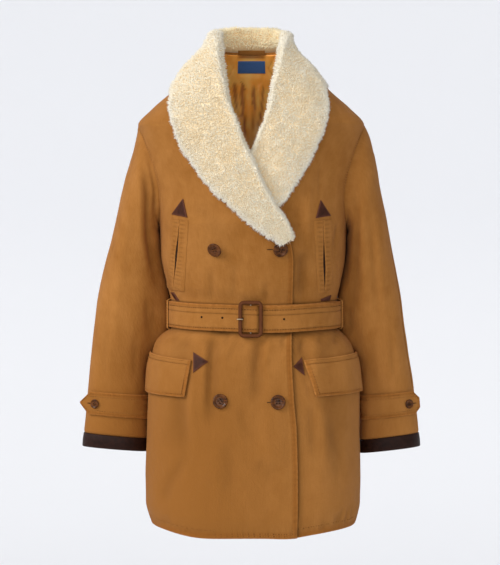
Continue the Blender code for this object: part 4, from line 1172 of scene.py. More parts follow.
def puckers(y, size, seed):
    """The troughs of such a ripple, from 0 to 1, where painted shade goes."""
    return np.clip(wobble(y, size, seed), 0, 1)


def over_cloth(x, y, size, seed):
    """Noise that lies on a cloth's own measure."""
    return soft_noise(np.stack([x, y, 0 * x], -1), size, seed)


CANVAS_CLOTH = canvas_finish(
    "washed_canvas", dark=(0.320, 0.122, 0.022), middle=(0.400, 0.158, 0.030), light=(0.470, 0.200, 0.050)
)
# Near-black canvas for the pocket mouths: painted shadow inside the slits.
POCKET_SHADOW = canvas_finish(
    "pocket_mouth_shadow", dark=(0.020, 0.008, 0.003), middle=(0.026, 0.010, 0.004), light=(0.035, 0.014, 0.006)
)
WOOL = wool_finish()
HIDE = hide_finish()
PATCH_LEATHER = leather_finish("patch_leather", (0.034, 0.009, 0.004), (0.069, 0.019, 0.008))
CUFF_LEATHER = leather_finish("cuff_leather", (0.013, 0.004, 0.002), (0.028, 0.009, 0.005))
BUCKLE_LEATHER = leather_finish("buckle_leather", (0.042, 0.012, 0.003), (0.092, 0.028, 0.008), 0.07)
SATIN = lining_finish()
LABEL = label_finish()
HORN = horn_finish("button_horn", (0.030, 0.009, 0.002), (0.165, 0.054, 0.013))
BRASS = brass_finish()
CANVAS_THREAD = thread_finish("canvas_thread", (0.44, 0.17, 0.034), (0.60, 0.28, 0.075))
# Dark strips under the topstitching: painted shade in the stitches' grooves.
SEAM_GROOVE_SHADE = thread_finish("seam_groove_shade", (0.10, 0.032, 0.006), (0.16, 0.054, 0.010))
DARK_THREAD = thread_finish("dark_thread", (0.035, 0.014, 0.008), (0.09, 0.04, 0.02))

# Near-black eyelets: their dark stitching, and painted shadow in the hole.
EYELET = thread_finish("eyelet_stitch_and_hole_shadow", (0.010, 0.004, 0.002), (0.022, 0.009, 0.004))

SEAM_NAMES = ("front_over", "front_under", "back", "sleeves", "trims", "belt")
SEAMS = {name: Stitching(length=3.2, gap=1.4, thick=0.95) for name in SEAM_NAMES}
GROOVE_SHADES = {name: Stitching(length=5.2, gap=-0.9, thick=1.25) for name in SEAM_NAMES}
DARK_SEAMS = Stitching(length=2.4, gap=0.9, thick=0.6)
DARK_HOLES = Stitching(length=1.5, gap=-0.55, thick=1.7)
BUTTON_THREAD = Stitching(length=1.7, gap=0, thick=1.5)
NEAR = (0.4, 1.2, 2.6)


def topstitch(name, lay, u, v, out=0.15, count=400):
    """A row of stitches over a strip of dark thread a little below it: painted shade in the groove it sinks
    into.
    """
    GROOVE_SHADES[name].sew(lay, u, v, out - 0.3, count)
    SEAMS[name].sew(lay, u, v, out, count)


def hollows(turn, height, creases):
    """How much painted shade darkens the cloth in the hollows of its folds and creases."""
    base = ring(turn, height)
    low = fold(turn, height, base[..., 0]) + creased(base[..., 0], base[..., 2], creases)
    return 0.17 * np.clip(-low / 3.0, 0, 1.3)


def front(name, edge_table, sign, place):
    """One front and its stitches. place is the surface that it lies on."""

    def turned(u, v):
        edge = turn_at(edge_table.at("x", v), v)
        return edge + (sign * (90 - armhole_cut(v, ARMHOLE_FRONT) - SEAM_TURN) - edge) * u

    def lay(u, v, out):
        return place(turned(u, v), v, out)

    def rough(x, y, u, v):
        grooves = -0.5 * bell(x, EDGE_SEAMS[0], 1.3) - 0.45 * bell(x, EDGE_SEAMS[1], 1.3)
        ripple = 0.55 * wobble(y, 7.5, 1) * bell(x, 3.4, 3.8)
        hem = 0.6 * wobble(x, 9.0, 2) * bell(v - HEM, 9, 8)
        proud = 1.6 * ease(x, 15, 3)
        return (grooves + ripple + proud) * ease(v, -240, -330) + hem

    # Painted shade: in crease hollows, along the edge's stitch rows, behind and just under the belt, in the
    # puckers of the front edge and hem, and on the under front beside the over front's edge.
    def dark(x, y, u, v):
        turn = turned(u, v)
        across = ring(turn, v)[..., 0]
        rows = sum(bell(x, at, 1.1) for at in EDGE_SEAMS)
        shade = hollows(turn, v, FRONT_CREASES) + 0.22 * rows * ease(v, -240, -300)
        from_belt = np.abs(v - BELT_MIDDLE)
        below = 0.3 * (v < BELT_MIDDLE) * ease(from_belt, 34, 24)
        gathered = bell(across, -50, 14) + bell(across, 45, 26) + 0.25
        shade = shade + 0.6 * ease(from_belt, 27, 24) + below * gathered
        edge_puckers = puckers(y, 7.5, 1.6) * bell(x, 5, 4) * ease(v, -240, -330)
        shade = shade + PUCKER * (edge_puckers + puckers(x, 9.0, 2.6) * bell(v - HEM, 9, 7))
        if sign > 0:
            past = across - OVER_EDGE.at("x", v)
            shade = shade + 0.75 * ease(past, 5, -1) * ease(v, -300, -345)
        return shade

    rows = np.unique(np.concatenate([body_rows(), HEM + np.array([0.5, 1.4, 2.8, 5.2])]))[::-1]
    columns = edged(0, 1, 1 / 76, (0.0015, 0.0045, 0.009, 0.014, 0.019, 0.0245, 0.031))
    cloth(
        name + "_cloth", name, [name], columns, rows, lay, 0.0, -CANVAS,
        rough=rough, dark=dark, worn="lb", wear_by=1.6, hemmed="lb", deep_by=9.0,
    )

    def beside(inside, v, out):
        return place(turn_at(edge_table.at("x", v) + sign * inside, v), v, out)

    def by_armhole(inside, v, out):
        turn = 90 - armhole_cut(v, ARMHOLE_FRONT) - np.degrees(inside / 150)
        return place(sign * turn, v, out)

    for inside in EDGE_SEAMS:
        topstitch(name, beside, [inside, inside], [-335, HEM + 2])
    for inside in ARMHOLE_SEAMS:
        topstitch(name, by_armhole, inside, ARMHOLE_SEAM_HEIGHTS)
    topstitch(name, by_armhole, 2.5, [SHOULDER_TIP + 2, -84])
    start = float(turn_at(-63 if sign < 0 else 76, HEM))
    topstitch(name, place, [sign * 89, start], [HEM + HEM_SEAM, HEM + HEM_SEAM - 1], count=900)
    if sign < 0:
        edge = float(turn_at(OVER_EDGE.at("x", -809) - 5, HEM))
        for v in (HEM + 4, HEM + 8):
            topstitch(name, place, [start, edge], [v, v])
        topstitch(name, place, [start, start], [HEM + HEM_SEAM, HEM + 4])


def fronts():
    front("front_over", OVER_EDGE, -1, body)
    front("front_under", UNDER_EDGE, 1, under_body)


def back():
    def turned(u, v):
        start = 90 + armhole_cut(v, ARMHOLE_BACK) + SEAM_TURN - LAP
        return start, start + (360 - 2 * start) * u

    def lay(u, v, out):
        start, turn = turned(u, v)
        inset = np.minimum(turn - start, 360 - start - turn)
        return body(turn, v, out - (CANVAS + 0.2) * ease(inset, LAP, 0.8 * LAP))

    def rough(x, y, u, v):
        return 0.35 * wobble(x, 9.5, 4) * bell(v - HEM, 9, 8)

    # Painted shade in the hollows of the back's folds and creases.
    def dark(x, y, u, v):
        return hollows(turned(u, v)[1], v, BACK_CREASES)

    rows = np.unique(np.concatenate([body_rows(4.6, 40), HEM + np.array([0.5, 1.4, 2.8])]))[::-1]
    columns = edged(0, 1, 1 / 98, (0.001, 0.003, 0.0053, 0.0067, 0.009))
    cloth(
        "back_cloth", "back", ["back"], columns, rows, lay, 0.0, -CANVAS,
        rough=rough, dark=dark, worn="b", wear_by=1.6, hemmed="b", deep_by=12.0,
    )
    for sign in (-1, 1):

        def by_armhole(inside, v, out, sign=sign):
            turn = 90 + armhole_cut(v, ARMHOLE_BACK) + np.degrees(inside / 150)
            return body(180 + sign * (180 - turn), v, out)

        for inside in ARMHOLE_SEAMS:
            topstitch("back", by_armhole, inside, ARMHOLE_SEAM_HEIGHTS)
    topstitch("back", body, [92, 268], [HEM + HEM_SEAM, HEM + HEM_SEAM], count=1400)


def lining():
    """The quilted lining of the upper back: only that part of it shows, through the neck."""
    wrinkles = [
        (2.6, 4.0, (-15, -40), (-16, -80), (-12, -120), (-6, -165)),
        (2.2, 3.5, (3, -42), (5, -90), (3, -150)),
        (2.4, 4.0, (22, -40), (18, -90), (9, -140)),
        (-1.6, 5.0, (-6, -45), (-6, -110), (-2, -160)),
        (-1.6, 5.0, (13, -45), (11, -120)),
        (1.8, 4.0, (-31, -40), (-28, -80), (-22, -115)),
        (2.0, 5.0, (-60, -60), (-56, -180)),
        (2.0, 5.0, (60, -60), (52, -190)),
    ]
    quilt_step = 52.0

    def turned(u, v):
        start = 91 + armhole_cut(v, ARMHOLE_BACK + 1)
        return start + (360 - 2 * start) * u

    def lay(u, v, out):
        return body(turned(u, v), v, out)

    def rough(x, y, u, v):
        across = x - x[len(x) // 2]
        base = ring(turned(u, v), v)
        quilt = np.zeros_like(x)
        for way in (-1, 1):
            line = (across * 0.86 + way * y * 0.5 + 13 * way) / quilt_step
            away = np.abs(line - np.rint(line)) * quilt_step
            quilt = np.maximum(quilt, bell(away, 0, 1.6))
        puffed = 2.0 * quilt - 0.8 + 1.0 * soft_noise(base, (10, 20, 34), 6)
        by_label = ease(np.abs(base[..., 0]), 34, 26) * ease(v, -38, -31)
        return (puffed + creased(base[..., 0], base[..., 2], wrinkles) * 1.9) * (1 - 0.8 * by_label)

    # Painted shade in the lining's folds and quilting lines, a painted shadow under the hanger loop, and
    # more painted shade lower down inside the coat.
    def dark(x, y, u, v):
        across = np.abs(turned(u, v) - 180)
        behind_hanger = bell(v - HANGER_TOP + HANGER_HEIGHT, -4.4, 2.4) * ease(across, HANGER_TURN, 18)
        in_folds = ease(rough(x, y, u, v), 0.2, 3.2) * 0.85
        return np.minimum(in_folds + 0.95 * behind_hanger + 0.5 * ease(v, -85, -150), 1)

    outer = -CANVAS - CLEAR
    cloth(
        "lining_satin", "lining", ["lining_back"], edged(0, 1, 1 / 120, (0.001, 0.003)),
        edged(NECK - 3, ARMPIT, 3.1, NEAR), lay, outer - LINING, outer,
        finish=SATIN, slot="lining", rough=rough, dark=dark, through=0.0, worn="",
    )


def sleeve_half(side, half, sign):
    """The front or rear piece of a sleeve. u is 0 at its outer seam and 180 at the body."""
    table, gap = SLEEVES[side], SLEEVE_SEAM_TURN

    def turned(u, v):
        return sign * (gap + (180 - 2 * gap) * u / 180) + table.at("seam", v) * (1 - u / 180)

    def lay(u, v, out):
        around = turned(u, v)
        start = sleeve(side, around, np.maximum(v, 0), out)
        on = sleeve(side, around, 0.25, out) - start
        in_body = start * np.array([0, 1, 1]) - start
        tucked = unit(unit(in_body) * 0.8 - unit(on + (v > 0)[:, None]) * 0.6)
        return start + tucked * (np.maximum(-v, 0) * 45)[:, None]

    def rough(x, y, u, v):
        seam = 0.45 * bell(x, 1.5, 2.2) * (1 + 0.5 * wobble(y, 8.0, 3))
        return seam - 0.4 * bell(x, 4.5, 1.6)

    # Painted shade: in the creases' hollows, along the armhole seam, and on the inner flank where the sleeve
    # meets the body.
    def dark(x, y, u, v):
        around = turned(u, v)
        base = sleeve_base(side, around, v)
        low = creased(base[..., 0], base[..., 2], SLEEVE_CREASES[side, sign > 0])
        joined = 0.55 * ease(np.minimum(y, 99), 3.0, 0.0)
        inner = 0.55 * ease(np.abs(around), 150, 172) * ease(v, 0.6, 2.0) * ease(v, 8.6, 6.8)
        return 0.2 * np.clip(-low / 3.2, 0, 1.3) * ease(v, 0, 0.7) + joined + inner

    node = f"sleeve_{half}_{side}"
    rings = np.concatenate([[-0.1, -0.05], np.linspace(0, 2.6, 36), np.linspace(2.6, 11, 88)[1:]])
    cloth(
        node + "_cloth", "sleeve_" + half, [node], edged(0, 180, 4.0, (0.8, 1.8, 3.2, 5.0, 7.0)), rings,
        lay, 0.0, -CANVAS, rough=rough, dark=dark, worn="l", wear_by=1.4,
    )
    if half == "front":
        for inside in (4.0, 8.5):
            topstitch("sleeves", lay, [inside, inside * 0.8], [0.25, 9.1], count=900)


def sleeves():
    for side in SIGN:
        for half, sign in (("front", 1), ("rear", -1)):
            sleeve_half(side, half, sign)


def collar_ring(place, room, turn, height, edge_turn, edge_height, upright, sizes):
    """One ring of the collar: its cloth side lies on place, its wool reaches out and over the top."""
    stand, inside, thick, lift, thin = sizes
    start = place(turn, height)
    normal = facing_out(place, turn, height)
    fall = unit(place(turn + (edge_turn - turn) * 0.04, height + (edge_height - height) * 0.04) - start)
    over = unit(-fall * (1 - upright) + np.array([0, 0, 1.0]) * upright)
    outward = unit(normal - over * (normal @ over))

    def near(over_by, out_by):
        return start + over * over_by + outward * min(out_by, room(turn, height))

    def along(part, out):
        part_turn, part_height = turn + (edge_turn - turn) * part, height + (edge_height - height) * part
        return place(part_turn, part_height, min(out, room(part_turn, part_height)))

    low = COLLAR_CLEAR + lift
    inner = low - (low + CANVAS) * min(inside / 3, 1)
    under = [near(ROLL_GAP, inner), near(ROLL_GAP, low)] + [along(part, low) for part in COLLAR_STEPS]
    end = unit(along(1.0, low) - along(0.9, low))
    rim = 1.06 - thin
    wool = [along(1.0, low + thick * part * rim) + end * past for part, past in ((0.23, 5), (0.64, 5.5))]
    wool += [along(part, low + thick * (1.06 - thin * part**3)) for part in reversed(COLLAR_STEPS)]
    wool += [
        near(stand * 0.5, low + thick * 1.1),
        near(stand + 3, low + thick * 0.7),
        near(stand + 6, inner + thick * 0.25),
        near(stand + 3.5, inner - inside * 0.7),
        near(stand * 0.45 + 1.5, inner - inside),
    ]
    return under + wool


def collar_rings(place, room, side, front_rows):
    """The rings of a collar half, from the centre back to its tip."""
    rings = []
    for turn in (180 - 2 * SEAM_TURN, 165, 150, 135, 120, 105, 90):
        row = {n: BACK_COLLAR[side].at(n, turn) for n in BACK_COLLAR_COLUMNS.split()}
        ends = (SIGN[side] * turn, NECK, SIGN[side] * turn, row["edge_height"])
        rings.append(collar_ring(body, room, *ends, row["upright"], [row[n] for n in COLLAR_SIZES]))
    for station in front_rows.keys:
        row = {n: front_rows.at(n, station) for n in FRONT_COLLAR_COLUMNS.split()}
        turn, edge_turn = (turn_at(row[n + "_x"], row[n + "_height"]) for n in ("roll", "edge"))
        ends = (turn, row["roll_height"], edge_turn, row["edge_height"])
        rings.append(collar_ring(place, room, *ends, row["upright"], [row[n] for n in COLLAR_SIZES]))
    return np.array(rings)


def smooth_through(points, count, closed=False):
    """A smooth curve through points, along their first axis, and each new point's place among them."""
    if closed:
        points = np.concatenate([points[-1:], points, points[:2]])
    else:
        points = np.concatenate([2 * points[:1] - points[1:2], points, 2 * points[-1:] - points[-2:-1]])
    steps = np.linalg.norm(np.diff(points[1:-1], axis=0), axis=-1)
    steps = steps.reshape(len(steps), -1).mean(1)
    reach = np.concatenate([[0], steps.cumsum()])
    at = np.linspace(0, reach[-1], count, endpoint=not closed)
    i = np.clip(np.searchsorted(reach, at, side="right") - 1, 0, len(steps) - 1)
    t = (at - reach[i]) / steps[i]
    f = t.reshape(-1, *[1] * (points.ndim - 1))
    a, b, c, d = (points[i + n] for n in range(4))
    curve = 2 * b + (c - a) * f + (2 * a - 5 * b + 4 * c - d) * f**2 + (3 * b - a - 3 * c + d) * f**3
    return curve / 2, i + t


def loft(name, rings, joined):
    """A solid through closed rings of points, its ends capped, or joined to each other."""
    rings = np.array(rings, float)
    if joined:
        rings = np.concatenate([rings, rings[:1]])
    rows, columns = len(rings) - 1, rings.shape[1]
    mesh = bmesh.new()
    bmesh.ops.create_grid(mesh, x_segments=columns, y_segments=rows, size=0.5)
    for vertex in mesh.verts:
        column = round((vertex.co.x + 0.5) * columns) % columns
        vertex.co = rings[round((vertex.co.y + 0.5) * rows), column]
    bmesh.ops.remove_doubles(mesh, verts=mesh.verts[:], dist=0.001)
    if not joined:
        ends = [e for e in mesh.edges if e.is_boundary]
        bmesh.ops.holes_fill(mesh, edges=ends, sides=0)
    return to_data(name, mesh, fix=True)


LOCK_ROOT = 5.0  # how deep a lock's root is below the wool's reach
LOCK_LENGTH = 6.6
LOCKS_A_CELL = 2


def lock_pattern():
    """A lock of wool, one long, that leans to +X as it rises."""
    mesh = bmesh.new()
    bmesh.ops.create_cone(mesh, cap_ends=True, segments=3, radius1=0.17, radius2=0.0, depth=1.0)
    bmesh.ops.translate(mesh, verts=mesh.verts[:], vec=(0, 0, 0.5))
    everything = mesh.verts[:] + mesh.edges[:] + mesh.faces[:]
    bmesh.ops.bisect_plane(mesh, geom=everything, plane_co=(0, 0, 0.5), plane_no=(0, 0, 1))
    for vertex in mesh.verts:
        swell = 1.5 if 0.3 < vertex.co.z < 0.7 else 1.0
        vertex.co.x, vertex.co.y = vertex.co.x * swell + 0.34 * vertex.co.z**2, vertex.co.y * swell
    data = bpy.data.meshes.new("lock")
    bmesh.ops.triangulate(mesh, faces=mesh.faces[:])
    mesh.to_mesh(data)
    mesh.free()
    give(data, "tip", [v.co.z for v in data.vertices])
    return data


def collar(name, place, room, side, front_rows):
    """A half of the collar: its hide with short wool, and the locks that stand on it."""
    rings, station = smooth_through(collar_rings(place, room, side, front_rows), 138)
    around, index = smooth_through(rings.swapaxes(0, 1), 66, closed=True)
    rings = around.swapaxes(0, 1)
    if side == "left":
        moved = 5.0 * bell(station, 3.6, 1.5) + 1.5 * bell(station, 6.6, 1.0)
        rings[..., 0] -= moved[:, None]
    else:
        rings[..., 0] -= 5.5 * bell(station, 6.0, 1.4)[:, None] * bell(index, 8.0, 3.2)
    is_wool = ease(index, 6.2, 7.6) * ease(index, 19.0, 18.2)
    rim = np.maximum(ease(index, 10.6, 7.4), 0.5 * ease(index, 13.2, 15.0) * ease(index, 18.5, 16.5))
    behind = ease(station, 7.2, 5.6)
    # neck is painted shade on the wool and hide that face into the neck.
    neck = behind[:, None] * np.maximum(ease(index, 15.2, 16.4), ease(index, 1.4, 0.6))[None, :]
    rim = rim[None, :] * (1 - neck)
    across = np.roll(rings, -1, 1) - np.roll(rings, 1, 1)
    normal = unit(np.cross(np.gradient(rings, axis=0), across))
    if ((rings - rings.mean(1, keepdims=True)) * normal).sum() < 0:
        normal = -normal
    lumps = 2.0 * soft_noise(rings, (9, 9, 9), 8) + 1.5 * soft_noise(rings, (22, 22, 22), 9)
    depth = (LOCK_ROOT - lumps) * is_wool[None, :]
    ground = rings - normal * depth[..., None]
    data = loft(name, ground, False)
    finder = KDTree(ground.shape[0] * ground.shape[1])
    for number, point in enumerate(ground.reshape(-1, 3) * MM):
        finder.insert(point, number)
    finder.balance()
    found = [finder.find(v.co)[1] for v in data.vertices]
    give(data, "rim", rim.ravel()[found])
    give(data, "neck", neck.ravel()[found])
    shell = piece(name + "_hide", data, HIDE, [name])
    woolly = np.broadcast_to(is_wool, ground.shape[:2])
    locks(name, woolly, ground, normal, unit(across), rim, neck)


def locks(name, *fields):
    """The locks of a collar half. fields are, for each point of its ground: whether it has wool, its
    place, its normal, its direction around the ring, how far it belongs to the rim, and its painted shade in
    the neck.
    """
    rows, columns = fields[0].shape[0] - 1, fields[0].shape[1]
    found = []
    for down in range(LOCKS_A_CELL):
        for over in range(LOCKS_A_CELL):
            s = (down + rng.uniform(0.0, 1.0, (rows, columns))) / LOCKS_A_CELL
            t = (over + rng.uniform(0.0, 1.0, (rows, columns))) / LOCKS_A_CELL

            def mixed(values):
                s_, t_ = (s, t) if values.ndim == 2 else (s[..., None], t[..., None])
                beside = np.roll(values, -1, 1)
                first = values[:-1] * (1 - t_) + beside[:-1] * t_
                blended = first * (1 - s_) + (values[1:] * (1 - t_) + beside[1:] * t_) * s_
                return blended.reshape(rows * columns, *values.shape[2:])

            keep, *values = (mixed(field) for field in fields)
            found.append([value[keep > 0.55] for value in values])
    spots, ups, flows, rims, necks = (np.concatenate(part) for part in zip(*found, strict=True))
    ups = unit(ups)
    leaning = rng.normal(0, 0.42, spots.shape) - flows * 0.12 + np.array([0, 0, -0.16])
    lumpy = np.stack([soft_noise(spots, 11, n) for n in (21, 22, 23)], -1) * 0.5
    ways = unit(ups + leaning + lumpy)
    bends = np.cross(ways, rng.normal(0, 1, spots.shape))
    length = LOCK_LENGTH * rng.uniform(0.75, 1.2, len(spots)) * (1 + 0.25 * rims)
    wide = LOCK_LENGTH * rng.uniform(0.75, 1.15, len(spots))
    sizes = np.stack([wide, wide, length], -1) * MM
    tints = rng.uniform(0, 1, len(spots)) ** 1.5
    turns = turned_to(bends, ways)
    high = spots[:, 2] > np.median(spots[:, 2])
    return [
        scatter(
            f"{name}_locks_{part}", lock_pattern(), (spots - ups * 0.8)[of], turns[of], sizes[of], WOOL,
            "shearling", tint=tints[of], rim=rims[of], neck=necks[of],
        )
        for part, of in (("high", high), ("low", ~high))
    ]


def collars():
    collar("collar_over", body, lambda turn, height: 99.0, "left", OVER_COLLAR)
    collar("collar_under", under_body, under_room, "right", UNDER_COLLAR)


def turned_shape(name, profile, steps=40):
    """A closed round shape from its outline, as (radius, height) points from axis to axis."""
    mesh = bmesh.new()
    points = [mesh.verts.new((r, 0, z)) for r, z in profile]
    edges = [mesh.edges.new(pair) for pair in zip(points[:-1], points[1:], strict=True)]
    bmesh.ops.spin(
        mesh, geom=points + edges, cent=(0, 0, 0), axis=(0, 0, 1), dvec=(0, 0, 0), angle=2 * math.pi,
        steps=steps, use_merge=True,
    )
    bmesh.ops.remove_doubles(mesh, verts=mesh.verts[:], dist=0.001)
    bmesh.ops.recalc_face_normals(mesh, faces=mesh.faces[:])
    return mesh


def button(name, point, normal, size, turned=0.0):
    """A horn button with a raised rim, a dish, four holes and its thread."""
    high, r = size * BUTTON_THICK, size / 2
    away, hole = size * 0.13, size * 0.055
    outline = [
        (0, 0), (0.7 * r, 0), (0.86 * r, 0.05 * high), (0.97 * r, 0.28 * high), (r, 0.55 * high),
        (0.985 * r, 0.8 * high), (0.94 * r, 0.96 * high), (0.88 * r, high), (0.8 * r, 0.97 * high),
        (0.72 * r, 0.84 * high), (0.62 * r, 0.66 * high), (0.5 * r, 0.6 * high), (0.25 * r, 0.6 * high),
        (0, 0.62 * high),
    ]
    disc = turned_shape(name, outline)
    holes = bmesh.new()
    for angle in np.radians((45, 135, 225, 315)):
        spot = Matrix.Translation((away * math.cos(angle), away * math.sin(angle), high / 2))
        bmesh.ops.create_cone(
            holes, cap_ends=True, segments=12, radius1=hole, radius2=hole, depth=high * 3, matrix=spot
        )
    made = []
    for label, mesh in ((name, disc), (name + "_holes", holes)):
        data = bpy.data.meshes.new(label)
        mesh.to_mesh(data)
        mesh.free()
        made.append(bpy.data.objects.new(label + "_raw", data))
        bpy.context.scene.collection.objects.link(made[-1])
    cut = made[0].modifiers.new("holes", "BOOLEAN")
    cut.object, cut.operation = made[1], "DIFFERENCE"
    bpy.context.view_layer.update()
    seen = made[0].evaluated_get(bpy.context.evaluated_depsgraph_get())
    data = bpy.data.meshes.new_from_object(seen)
    for thing in made:
        bpy.data.objects.remove(thing)
    up = Vector(normal)
    facing = up.to_track_quat("Z", "Y").to_matrix().to_4x4() @ Matrix.Rotation(turned, 4, "Z")
    place = Matrix.Translation(Vector(point) * MM) @ facing
    data.transform(place @ Matrix.Scale(MM, 4))
    data.shade_smooth()
    data.set_sharp_from_angle(angle=math.radians(50))
    piece(name + "_horn", data, HORN, [name])

    turn = np.array(place.to_3x3())
    for way in (-1, 1):
        for along in np.linspace(-0.13, 0.13, 5):
            spot = np.array([along * size, way * size * 0.092, high * 0.66])
            BUTTON_THREAD.places.append((np.array(point) + turn @ spot)[None])
            BUTTON_THREAD.ahead.append(turn[:, 0][None])
            BUTTON_THREAD.up.append(turn[:, 2][None])


def front_buttons():
    for number, (name, x, height) in enumerate(FRONT_BUTTONS):
        turn = turn_at(x, height)
        out = facing_out(ring, turn, height)
        lift = BUTTON_LIFT
        if name in TILTED:
            tilt = np.array(TILTED[name])
            lift += FRONT_BUTTON / 2 * np.linalg.norm(tilt) / math.hypot(1, np.linalg.norm(tilt)) * 0.8
            out = unit(out + tilt)
        button(f"front_button_{name}", body(turn, height, lift), out, FRONT_BUTTON, 0.2 + number)


def patch(name, cut, nodes, corners, place, lift, thick, steps, shift=None, **looks):
    """A flat piece on a panel. corners are (x, height): upper left and right, lower left and right.

    shift gives how far its points are moved to the right, for u and v from 0 to 1.
    """
    (a, b), (c, d) = np.array(corners[:2], float), np.array(corners[2:], float)

    def lay(u, v, out):
        moved = 0 if shift is None else shift(u, v)
        u, v = u[:, None], v[:, None]
        at = (a * (1 - u) + b * u) * (1 - v) + (c * (1 - u) + d * u) * v
        at[:, 0] += moved
        return place(turn_at(at[:, 0], at[:, 1]), at[:, 1], out)

    wide, tall = np.linalg.norm(c - d), np.linalg.norm(a - c)
    across, down = (edged(0, 1, steps / size, np.array(NEAR[:2]) / size) for size in (wide, tall))
    cloth(name, cut, nodes, across, down, lay, lift + thick, lift, **looks)
    return lay


def leather_patch(kind, side, corners, place, inside):
    """A leather triangle with stitches inside its edge."""
    node = f"{kind}_{side}"
    lay = patch(
        node + "_leather", kind, [node], corners, place, LOW_CLEAR, LEATHER, 1.6,
        finish=PATCH_LEATHER, slot="leather",
    )
    near, far = inside, 1 - inside
    DARK_SEAMS.sew(lay, [near, near, far, far, near], [near, far, far, near, near], out=0.1)


def chest_welt(kind, side, corners, place):
    """A welt of a chest pocket. slit says which of its edges, u 0 or 1, is at the slit."""
    slit = 0 if (side == "left") == ("front" in kind) else 1
    widest = 0.48 if side == "left" else 0.62

    def shift(u, v):
        gape = bell(v, widest, 0.24)
        return (1.3 - 1.7 * gape) * (np.abs(1 - slit - u) ** 2) * (1 if slit else -1)

    def rough(x, y, u, v):
        away = np.abs(u - slit)
        ripples = 0.5 * wobble(y, 7.4, 5 + slit) * bell(away, 0.3, 0.22)
        return ripples + 0.5 * bell(away, 0, 0.3) - 0.5 * ease(away, 0.7, 1.0)

    # Painted shade in the puckers beside the slit.
    def dark(x, y, u, v):
        return 1.8 * PUCKER * puckers(y, 7.4, 5 + slit + 1.2) * bell(np.abs(u - slit), 0.35, 0.3)

    node = f"{kind}_{side}"
    lay = patch(
        node + "_cloth", "chest_welt", [node], corners, place, LOW_CLEAR, 1.0, 1.5, shift,
        rough=rough, dark=dark, through=0.2, worn="r" if slit else "l", wear_by=1.3,
    )
    for away in (0.2, 0.86):
        u = abs(slit - away)
        topstitch("trims", lay, [u, u], [0.01, 0.99])


def pockets():
    """The slanted chest pockets and the flapped hip pockets, with their leather triangles."""
    for side, place in (("left", body), ("right", under_body)):
        for kind, corners in CHEST_POCKET[side].items():
            if "welt" in kind:
                chest_welt(kind, side, corners, place)
            else:
                leather_patch(kind, side, corners, place, 0.13 if "upper" in kind else 0.2)
        # A near-black strip in each slit: painted shadow inside the pocket's mouth.
        patch(
            f"pocket_mouth_{side}", "pocket_mouth", (), POCKET_MOUTH[side], place, 0.15, 0.3, 1.5,
            finish=POCKET_SHADOW, worn="",
        )
        leather_patch("hip_patch", side, HIP_PATCH[side], place, 0.12)
        flap(side, place)


def flap(side, place):
    """A hip pocket's flap, which stands off at its lower front corner."""
    front_x, low_x, top, low, side_top = HIP_FLAP[side]

    def lay(u, v, out):
        height = (top + (side_top - top) * u) * (1 - v) + low * v
        start = turn_at(front_x + (low_x - front_x) * v, height)
        stands = FLAP_LIFT - 0.8 + FLAP_STANDS * v * (1 - 0.9 * u)
        return place(start + (SIGN[side] * FLAP_END - start) * u, height, stands + out)

    def rough(x, y, u, v):
        waves = over_cloth(x, y, (18, 24, 9), 31 + SIGN[side])
        groove = -0.5 * bell(y, FLAP_SEAM, 1.4)
        return waves * ease(v, 0.05, 0.4) + groove + 0.35 * wobble(x, 8.0, 7) * bell(v, 1, 0.14)

    # Painted shade in the puckers along the lower and front edges, and along the seam under the upper edge.
    def dark(x, y, u, v):
        below = puckers(x, 8.0, 8.1) * ease(v, 0.82, 0.93)
        front = puckers(y, 7.0, 3.1) * ease(u, 0.09, 0.04)
        return PUCKER * (below + front + 0.8 * bell(y, FLAP_SEAM, 1.2))

    node = f"pocket_flap_{side}"
    cloth(
        node + "_cloth", "pocket_flap", [node], edged(0, 1, 1 / 42, (0.004, 0.012, 0.026)),
        edged(0, 1, 1 / 28, (0.006, 0.018, 0.04)), lay, FLAP, 0.0, rough=rough, dark=dark,
        round_by=1.5, wear_by=1.6, hemmed="lrb", deep_by=6.0,
    )
    for v in (0.04, 0.13, 0.93):
        topstitch("trims", lay, [0.02, 0.98], [v, v], FLAP + 0.1)
    for u in (0.04, 0.965):
        topstitch("trims", lay, [u, u], [0.13, 0.95], FLAP + 0.1)


def belt_point(turn, out):
    """A point on the middle line of the belt's path, and its unit out direction, both level."""
    base = ring(turn, np.full(np.shape(turn), BELT_MIDDLE))
    normal = unit(facing_out(ring, turn, BELT_MIDDLE) * np.array([1, 1, 0]))
    return base + normal * np.asarray(out)[..., None], normal


def belt_wave(turn):
    """How far the belt's middle line is above its level."""
    return 0.9 * np.sin(turn / 23.0) + 0.5 * np.sin(turn / 9.0 + 1)


def belt_rows(v, width):
    """Nearness to the belt's rows of stitches."""
    return sum(bell(v, at, width) for at in BELT_ROWS)


